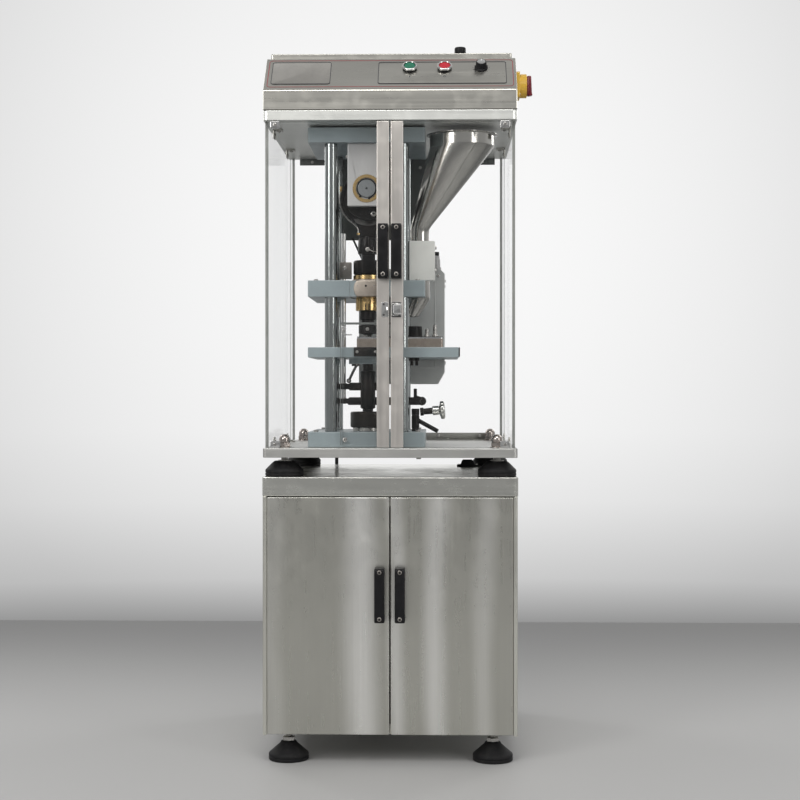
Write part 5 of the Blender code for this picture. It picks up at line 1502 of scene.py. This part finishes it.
def build_belt_guard():
    """Dark guard over the pulley behind the bearing block, open below for the belt."""
    low_x, high_x, low_y, high_y = -0.123, 0.066, 0.039, 0.086
    low_z, top = 1.04, edges_of("top_platen")[0].z - 0.0006
    wall, bore = 0.0015, 0.02
    left, right = PUNCH_X - bore, PUNCH_X + bore
    guard = Piece("belt_guard", "frame", GUARD_PAINT, SCREW_STEEL)
    for start, end in ((low_x, left), (right, high_x)):
        guard.block((start, low_y, low_z), (end, low_y + wall, top), 0.0003, 1)
    for start, end in ((low_z, SHAFT_Z - bore), (SHAFT_Z + bore, top)):
        guard.block((left + 0.0001, low_y + 0.0001, start), (right - 0.0001, low_y + wall, end), 0.0003, 1)
    guard.block((low_x, high_y - wall, low_z), (high_x, high_y, top), 0.0003, 1)
    for x in (low_x, high_x - wall):
        guard.block((x, low_y + wall + 0.0001, low_z), (x + wall, high_y - wall - 0.0001, top), 0.0003, 1)
    guard.paint(1)
    for x in (low_x + 0.012, high_x - 0.012):
        for z in (low_z + 0.014, top - 0.016):
            guard.cap_screw((x, low_y - 0.0001, z), FRONT, 0.0032, 0.002)
            guard.cap_screw((x, high_y + 0.0001, z), BACK, 0.0032, 0.002)
    guard.done()


def build_hopper():
    """Polished hopper: straight rim with a rolled edge, slanted cone, neck and chute, all one thin sheet."""
    low, high = edges_of("hopper")
    rim_x = high.x - (high.y - low.y) / 2
    rim = (high.y - low.y) / 2 - 0.0004
    outer = [(high.z - 0.0006, rim_x, rim), (high.z - 0.0016, rim_x, rim), (high.z - 0.0024, rim_x, 0.066),
             (high.z - 0.004, rim_x, 0.0645), (1.206, rim_x, 0.0642), (1.2035, rim_x - 0.0002, 0.064)]
    outer += [(1.2035 - 0.1555 * t, 0.1398 - 0.0811 * t, 0.064 - 0.043 * t) for t in (0.25, 0.5, 0.75, 1.0)]
    outer += [(1.04, 0.0555, 0.0192), (1.03, 0.055, 0.019), (0.96, 0.056, 0.019),
              (0.906, 0.0575, 0.019), (0.898, 0.056, 0.0185), (0.8665, 0.0402, 0.0133)]
    wall = 0.0012
    inner = [(z, x, radius - wall) for z, x, radius in reversed(outer[1:])]
    rings = []
    for z, x, radius in outer + inner:
        rings.append([(*point, z) for point in arc((x, PUNCH_Y), radius, 0, 360, 96)[:-1]])
    hopper = Piece("spun_hopper", "frame", HOPPER_STEEL).add(skin(rings))
    y = PUNCH_Y - 0.014
    for side in SIDES:
        top = (0.056 + side * 0.0128, y - 0.0012, 0.899)
        hopper.tube([top, (0.0402 + side * 0.0092, y + 0.0038, 0.868)], 0.0011, 10)
    hopper.done("hopper")


def build_hopper_bracket():
    """Painted block that carries the hopper's neck on the middle platen."""
    bracket = Piece("hopper_bracket", "frame", BRACKET_PAINT, SCREW_STEEL)
    outline = rounded_outline(0.036, MID_HIGH.z + 0.0003, 0.0862, 1.013, 0.003)
    bracket.plate(outline, 0.015, front_turn(0, -0.186), 0.001, 3)
    for side in SIDES:
        near, far = 0.0611 + side * 0.0205, 0.0611 + side * 0.025
        bracket.block((near, -0.1712, 0.97), (far, -0.116, 1.008), 0.001, 2)
    bracket.paint(1)
    for z in (0.955, 1.0):
        bracket.cap_screw((0.0867, -0.1785, z), RIGHT, 0.0036, 0.0026)
    bracket.done()


def build_shoe():
    """Feed shoe: a grey metal block with a slot over the die, a pale top plate, its collar and two posts."""
    low, high = edges_of("feed_shoe")
    top = 0.826
    shoe = Piece("shoe_block", "shoe", WARM_STEEL, SCREW_STEEL, BLACK_STEEL, GROUND_STEEL)

    def slotted(z_low, z_high, inset, radius, layer):
        """A plate open at its left end, with the round inlet through it."""
        x_low, x_high, half, corner = low.x + inset, high.x - inset, 0.029 - inset, 0.004
        left, right, far, near = x_low + corner, x_high - corner, half - corner, corner - half
        outer = arc((right, near), corner, -90, 0) + arc((right, far), corner, 0, 90)
        outer += arc((left, far), corner, 90, 180) + [(x_low, radius)]
        outer += arc((0.004, 0), radius, 90, -90, 20) + [(x_low, -radius)]
        outer += arc((left, near), corner, 180, 270)
        part = bmesh.new()
        loops = []
        for z in (z_low, z_high):
            edges = []
            for points in (outer, arc((0.042, 0), 0.0156, 0, 350, 35)):
                verts = [part.verts.new((x, y, z)) for x, y in points]
                closed = zip([verts[-1], *verts], verts)
                edges.append([part.edges.new(ends) for ends in closed])
            loops.append(edges)
            bmesh.ops.triangle_fill(part, edges=[edge for ring in edges for edge in ring], use_beauty=True)
        for first, second in zip(*loops):
            bmesh.ops.bridge_loops(part, edges=first + second)
        bmesh.ops.recalc_face_normals(part, faces=part.faces)
        shoe.paint(layer).add(part, Matrix.Translation((0, PUNCH_Y, 0)))

    slotted(low.z, top - 0.0042, 0, 0.0125, 0)
    slotted(top - 0.0041, top - 0.0011, 0.0008, 0.0127, 3)
    slotted(top - 0.001, top, 0.0004, 0.0126, 2)
    top += 0.0001
    shoe.turned(ring_profile(0.0156, 0.0189, top, high.z, 0.0007), (0.042, PUNCH_Y, 0), UP, 64).paint(1)
    for x, tall in ((0.07, 0.015), (0.086, 0.0235)):
        post = pairs(0, tall, 0.0028, tall, 0.0036, tall - 0.001) + mm(3.6, 4, 5.2, 3.8, 5.6, 3, 5.6, 0, 0, 0)
        for side in SIDES:
            shoe.turned(post, (x, PUNCH_Y + side * 0.018, top), UP, 32)
    for x in (-0.055, -0.02, 0.012, 0.094):
        for side in SIDES:
            shoe.cap_screw((x, PUNCH_Y + side * 0.023, top), UP, 0.0026, 0.0014)
    shoe.done("feed_shoe")


def build_ejector():
    """Lower punch in its holder, stepped arms, polished lift rod with its clamp block, and ball end."""
    group = Piece("ejector_and_arms", "ejector_group", BLACK_STEEL, CHROME, CLAMP_STEEL, SCREW_STEEL)
    holder = mm(0, 774.4, 9.6, 774.4, 10.5, 773.6, 10.5, 758.6, 14.2, 757.2, 15, 756, 15, 685, 14.2, 683.8,
                10.5, 682.4, 10.5, 646.8, 9.7, 646, 0, 646)
    group.turned(holder, PUNCH, UP, 64)
    group.paint(1).turned(mm(0, 790, 5.6, 790, 6, 789.6, 6, 774.6, 0, 774.6), PUNCH, UP, 48)
    upper = mm(-106, 721.5, -85, 721.5, -85, 719.2, -20, 719.2, -20, 735, -83, 735, -85, 733, -106, 733)
    lower = mm(-106, 693, -88, 693, -87, 690.2, -30, 690.2, 60, 690.2, 60, 705.8, 50, 709, 50, 723, 43.5, 723,
               43.5, 705.8, -85, 705.8, -87, 703, -106, 703)
    group.paint(0).plate(upper, 0.018, front_turn(0, PUNCH_Y - 0.009), 0.001, 2)
    group.plate(lower, 0.016, front_turn(0, PUNCH_Y - 0.008), 0.001, 2)
    ball = [(0, 0.0088), *arc((0, 0), 0.0088, 80, -80, 16), (0, -0.0088)]
    group.turned(ball, (0.06, PUNCH_Y, 0.698), UP, 40)
    rod_x, low, high = -0.097, 0.6925, edges_of("ejector")[1].z
    rod = pairs(0, high, 0.004, high, 0.005, high - 0.0012, 0.005, low, 0, low)
    group.paint(1).turned(rod, (rod_x, PUNCH_Y, 0), UP, 40)
    near, far = PUNCH_Y - 0.009, PUNCH_Y + 0.009
    group.paint(2).block((-0.104, near, 0.942), (-0.0806, far, 0.9748), 0.0009, 3)
    group.paint(3).cap_screw((-0.094, near - 0.0001, 0.963), FRONT, 0.004, 0.0022)
    for z in (0.7032, 0.7327):
        group.turned(mm(0, 1.2, 6.6, 1.2, 7, 0.8, 7, 0, 0, 0), (rod_x, PUNCH_Y, z), UP, 32)
    group.done("ejector")


def build_fill_ring():
    """Knurled ring that sets the fill depth, over a pale washer."""
    ring = Piece("knurled_fill_ring", "fill_adjuster", RING_BLACK, SCREW_STEEL)
    profile = mm(12.6, 645.6, 12.6, 676.4, 13.4, 677, 32.8, 677, 34.5, 675.2, 34.9, 673.5, 34.9, 649,
                 34.4, 647.2, 32.8, 645.6, 12.6, 645.6)
    ring.turned(profile, PUNCH, UP, 240, ridges(0.018, 60, 0.65, 0.672))
    low = edges_of("adjusting_ring")[0].z
    ring.paint(1).turned(ring_profile(0.0127, 0.03, low, 0.6455), PUNCH, UP, 72).done("adjusting_ring")


def build_clamp_lever():
    """Clamp post with its turned grooves, and the slanted bar."""
    low, high = edges_of("lock_lever")
    lever = Piece("clamp_post_and_bar", "clamp_lever", BLACK_STEEL)
    post = pairs(0, high.z, 0.0072, high.z, 0.0079, high.z - 0.0008)
    post += mm(7.9, 671, 7.2, 670.4, 7.2, 669, 7.9, 668.4, 7.9, 644, 7, 643.2, 7, 642, 7.9, 641.2)
    post += pairs(0.0079, low.z + 0.0008, 0.0072, low.z, 0, low.z)
    lever.turned(post, (POST_X, PUNCH_Y, 0), UP, 48)
    ends = ((POST_X + 0.004, PUNCH_Y - 0.001, 0.6602), (0.0915, PUNCH_Y - 0.0119, 0.6383))
    lever.tube(ends, 0.0043, 28).done("lock_lever")


def build_star_knob():
    """Star screw: black threaded shaft and sleeve, bright ribbed hub and lobed disc."""
    at = (POST_X + 0.0095, PUNCH_Y, 0.6765)
    tilt = math.radians(5)
    lean = (math.cos(tilt), 0, math.sin(tilt))
    star = Piece("star_screw", "star_screw", KNOB_METAL, BLACK_STEEL)
    sleeve = mm(0, 24.5, 6.4, 24.5, 6.5, 23.8, 6, 7.5, 7.8, 6.6, 8, 5.8, 8, 0.8, 7.4, 0, 0, 0)
    hub = mm(0, 37.5, 8.2, 37.5, 9, 36.8, 9, 36, 9, 26.2, 9, 25.6, 8.4, 24.8, 0, 24.8)
    lobed = mm(0, 49, 6, 49.2, 8, 49.8, 14, 49.4, 17.2, 48.2, 18, 46.8, 18, 42.4, 17.2, 40.8, 12, 39.4,
               8, 37.8, 0, 37.6)
    star.paint(1).turned(sleeve, at, lean, 48)
    star.paint(0).turned(hub, at, lean, 112, ridges(0.05, 14, 0.0265, 0.0358, 0.2))
    star.turned(lobed, at, lean, 98, ridges(0.06, 7, 0.039, 1)).done("star_knob")


def build_table_details():
    """Black die carrier before the table, a thin black block on the table's right end, bolts, the angled
    strut and platen screws.
    """
    front = TABLE_LOW.y
    carrier = Piece("die_carrier", "frame", NUT_BLACK, SCREW_STEEL)
    carrier.block((-0.0725, front - 0.0034, 0.7858), (-0.008, front - 0.0002, 0.804), 0.0006, 2).paint(1)
    for x in (-0.066, -0.03):
        carrier.cap_screw((x, front - 0.0035, 0.795), FRONT, 0.0028, 0.0008)
    carrier.done()
    # A thin black block along the die table's right end
    stop = Piece("table_end_black_strip", "frame", BLACK_PLASTIC)
    x = TABLE_HIGH.x
    stop.block((x + 0.0001, front + 0.002, TABLE_LOW.z + 0.014), (x + 0.0022, -0.09, 0.8036), 0.0006).done()
    bolts = Piece("table_bolts", "frame", BLACK_STEEL)
    for at in ((0.04, -0.17, 0.7838), (0.05, -0.155, 0.7838)):
        bolts.hex_head(at, DOWN, 0.0085, 0.006)
        bolts.turned(mm(0, 15, 2.6, 15, 3, 14.4, 3, 6.2, 0, 6.2), at, DOWN, 24)
    for side in SIDES:
        bolts.cap_screw((PUNCH_X + side * 0.027, PUNCH_Y - 0.015, 0.7718), DOWN, 0.0045, 0.004)
    bolts.done()
    strut = Piece("index_strut", "frame", CLAMP_DARK, SCREW_STEEL)
    path = [(-0.069, -0.15, 0.7712), (-0.077, -0.15, 0.756), (-0.0852, -0.15, 0.7385)]
    strut.tube(path, 0.0026, 20)
    for x, y, z in (path[0], path[-1]):
        strut.paint(0).turned(mm(0, 3.5, 4, 3.5, 4.6, 2.8, 4.6, -2.8, 4, -3.5, 0, -3.5), (x, y, z), FRONT, 32)
        strut.paint(1).cap_screw((x, y - 0.0036, z), FRONT, 0.0022, 0.0008)
    strut.done()
    pads = Piece("platen_screws", "frame", SCREW_STEEL)
    for z, radius, tall in ((edges_of("lower_platen")[1].z, 0.005, 0.0034), (MID_HIGH.z, 0.0042, 0.003)):
        for x in (-0.148, 0.052):
            for y in (-0.185, 0.02):
                pads.cap_screw((x, y, z + 0.0001), UP, radius, tall)
    pads.turned(mm(0, 6.2, 4.2, 6.2, 4.8, 5.6, 4.8, 0, 0, 0), (0.054, -0.17, 0.5899), DOWN, 28).done()


def build_inner_guard():
    """Clear guard before the die space: sheet, darker sawn edges, a top rail and a shiny bracket."""
    left, right, front, back = -0.0985, 0.018, -0.2088, -0.2052
    foot, top = 0.612, 0.852
    Piece("inner_guard", "frame", CLEAR).block((left, front, foot), (right, back, top), 0.0004, 1).done()
    edge = Piece("inner_guard_edges", "frame", GUARD_EDGE, CHROME, SCREW_STEEL)
    edge.block((left, front - 0.0001, foot), (left + 0.001, back + 0.0001, top), 0.0001, 1)
    edge.block((left + 0.0048, front - 0.0004, foot), (left + 0.0054, front - 0.0001, top), 0.0001, 1)
    edge.block((left, front - 0.0003, top - 0.004), (right, back + 0.0003, top + 0.0002), 0.0003, 1).paint(1)
    near, far = front - 0.0022, front - 0.0005
    edge.block((left + 0.002, near, 0.8268), (left + 0.023, far, 0.8292), 0.0004)
    edge.block((left + 0.0026, near, 0.8294), (left + 0.011, far, 0.844), 0.0004, 2, 0.0018, 1)
    edge.paint(2).cap_screw((left + 0.0068, near, 0.8368), FRONT, 0.0028, 0.0012)
    for x in (left + 0.0085, right - 0.0085):
        edge.paint(2).cap_screw((x, front - 0.0001, 0.623), FRONT, 0.0034, 0.002)
        edge.paint(1).turned(mm(0, 4.8, 5, 4.8, 5, 0, 0, 0), (x, back + 0.005, 0.623), FRONT, 28)
    edge.done()


def build_case_extras():
    """Dark rail along the top of the rear sheet, and the cable saddle on the worktop."""
    inner = edges_of("panel_back")[0].y
    top = edges_of("head_base")[0].z
    rail = Piece("rear_top_rail", "frame", GUARD_PAINT, SCREW_STEEL)
    rail.block((-0.218, inner - 0.004, top - 0.015), (0.218, inner - 0.0006, top - 0.0003), 0.0006).paint(1)
    for step in range(5):
        rail.cap_screw((-0.19 + 0.095 * step, inner - 0.0041, top - 0.008), FRONT, 0.0032, 0.002)
    rail.done()
    surface = edges_of("worktop")[1].z + 0.0002
    saddle = Piece("cable_saddle", "frame", BLACK_PLASTIC, SCREW_STEEL)
    outline = mm(133, 0, 179, 0, 179, 4, 171, 5, 168, 13, 165.5, 15, 146.5, 15, 144, 13, 141, 5, 133, 4)
    saddle.plate(outline, 0.018, front_turn(0, 0.148) @ Matrix.Translation((0, surface, 0)), 0.0008, 2)
    saddle.paint(1)
    for x in (0.137, 0.175):
        saddle.cap_screw((x, 0.157, surface + 0.0041), UP, 0.0024, 0.0014)
    saddle.done()


def build_door_gap():
    """Black strip in the gap between the worktop's edge and the cabinet doors: painted shade that makes the
    gap show dark.
    """
    low, high = edges_of("cabinet_door_left")
    right = edges_of("cabinet_door_right")[1].x
    gap_shade = Piece("door_gap_painted_shade", "frame", BLACK_PLASTIC)
    top = (right - 0.0004, high.y - 0.0004, edges_of("worktop")[0].z - 0.0003)
    # Painted shade: a black block fills the gap under the worktop
    gap_shade.block((low.x + 0.0004, low.y + 0.001, high.z + 0.0003), top, 0.0002, 1).done()


def build_cabinet_back():
    """Screwed rear sheet of the cabinet with two rows of louvres, their openings in painted shade."""
    low, high = edges_of("cabinet_shell")
    back = Piece("cabinet_back_screws", "frame", SCREW_STEEL)
    for x in (low.x + 0.012, 0.0, high.x - 0.012):
        for z in (low.z + 0.014, (low.z + high.z) / 2, high.z - 0.014):
            back.turned(mm(0, 1.8, 2, 1.7, 3.8, 0.8, 4, 0, 0, 0), (x, high.y + 0.0001, z), BACK, 28)
    back.done()
    louvres = Piece("cabinet_louvres", "frame", SHELL_STEEL, DARK_PRINT_AND_SLOT_SHADE)
    near, far = high.y + 0.0001, high.y + 0.0004
    for middle in (-0.11, 0.11):
        for row in range(6):
            z = high.z - 0.08 - row * 0.016
            slit = (middle + 0.05, far, z - 0.0004)
            # Painted shade: a dark strip under each hood stands for the louvre's dark opening
            louvres.paint(1).block((middle - 0.05, near, z - 0.003), slit, 0.0001, 1)
            hood = [(middle + side * 0.052, high.y + 0.0012, z + 0.0008) for side in SIDES]
            louvres.paint(0).tube(hood, 0.0014, 12)
    louvres.done()


bpy.context.scene.view_settings.view_transform = "Standard"
add_camera()
add_lead()
add_floor()
add_sky()
add_lights()
dress_nodes()
build_cabinet_feet()
build_machine_feet()
build_handles()
build_door_clips()
build_pane_edges()
build_case_fixings()
build_latch()
build_slope_panel()
build_buttons()
build_knob()
build_top_cap()
build_main_switch()
build_head_fixings()
build_columns()
build_shaft_bush()
build_crankshaft()
build_rod()
build_stroke_nut()
build_guide()
build_upper_punch()
build_motor()
build_motor_cover_details()
build_belt()
build_belt_guard()
build_hopper()
build_hopper_bracket()
build_shoe()
build_ejector()
build_fill_ring()
build_clamp_lever()
build_star_knob()
build_table_details()
build_inner_guard()
build_case_extras()
build_cabinet_back()
build_door_gap()
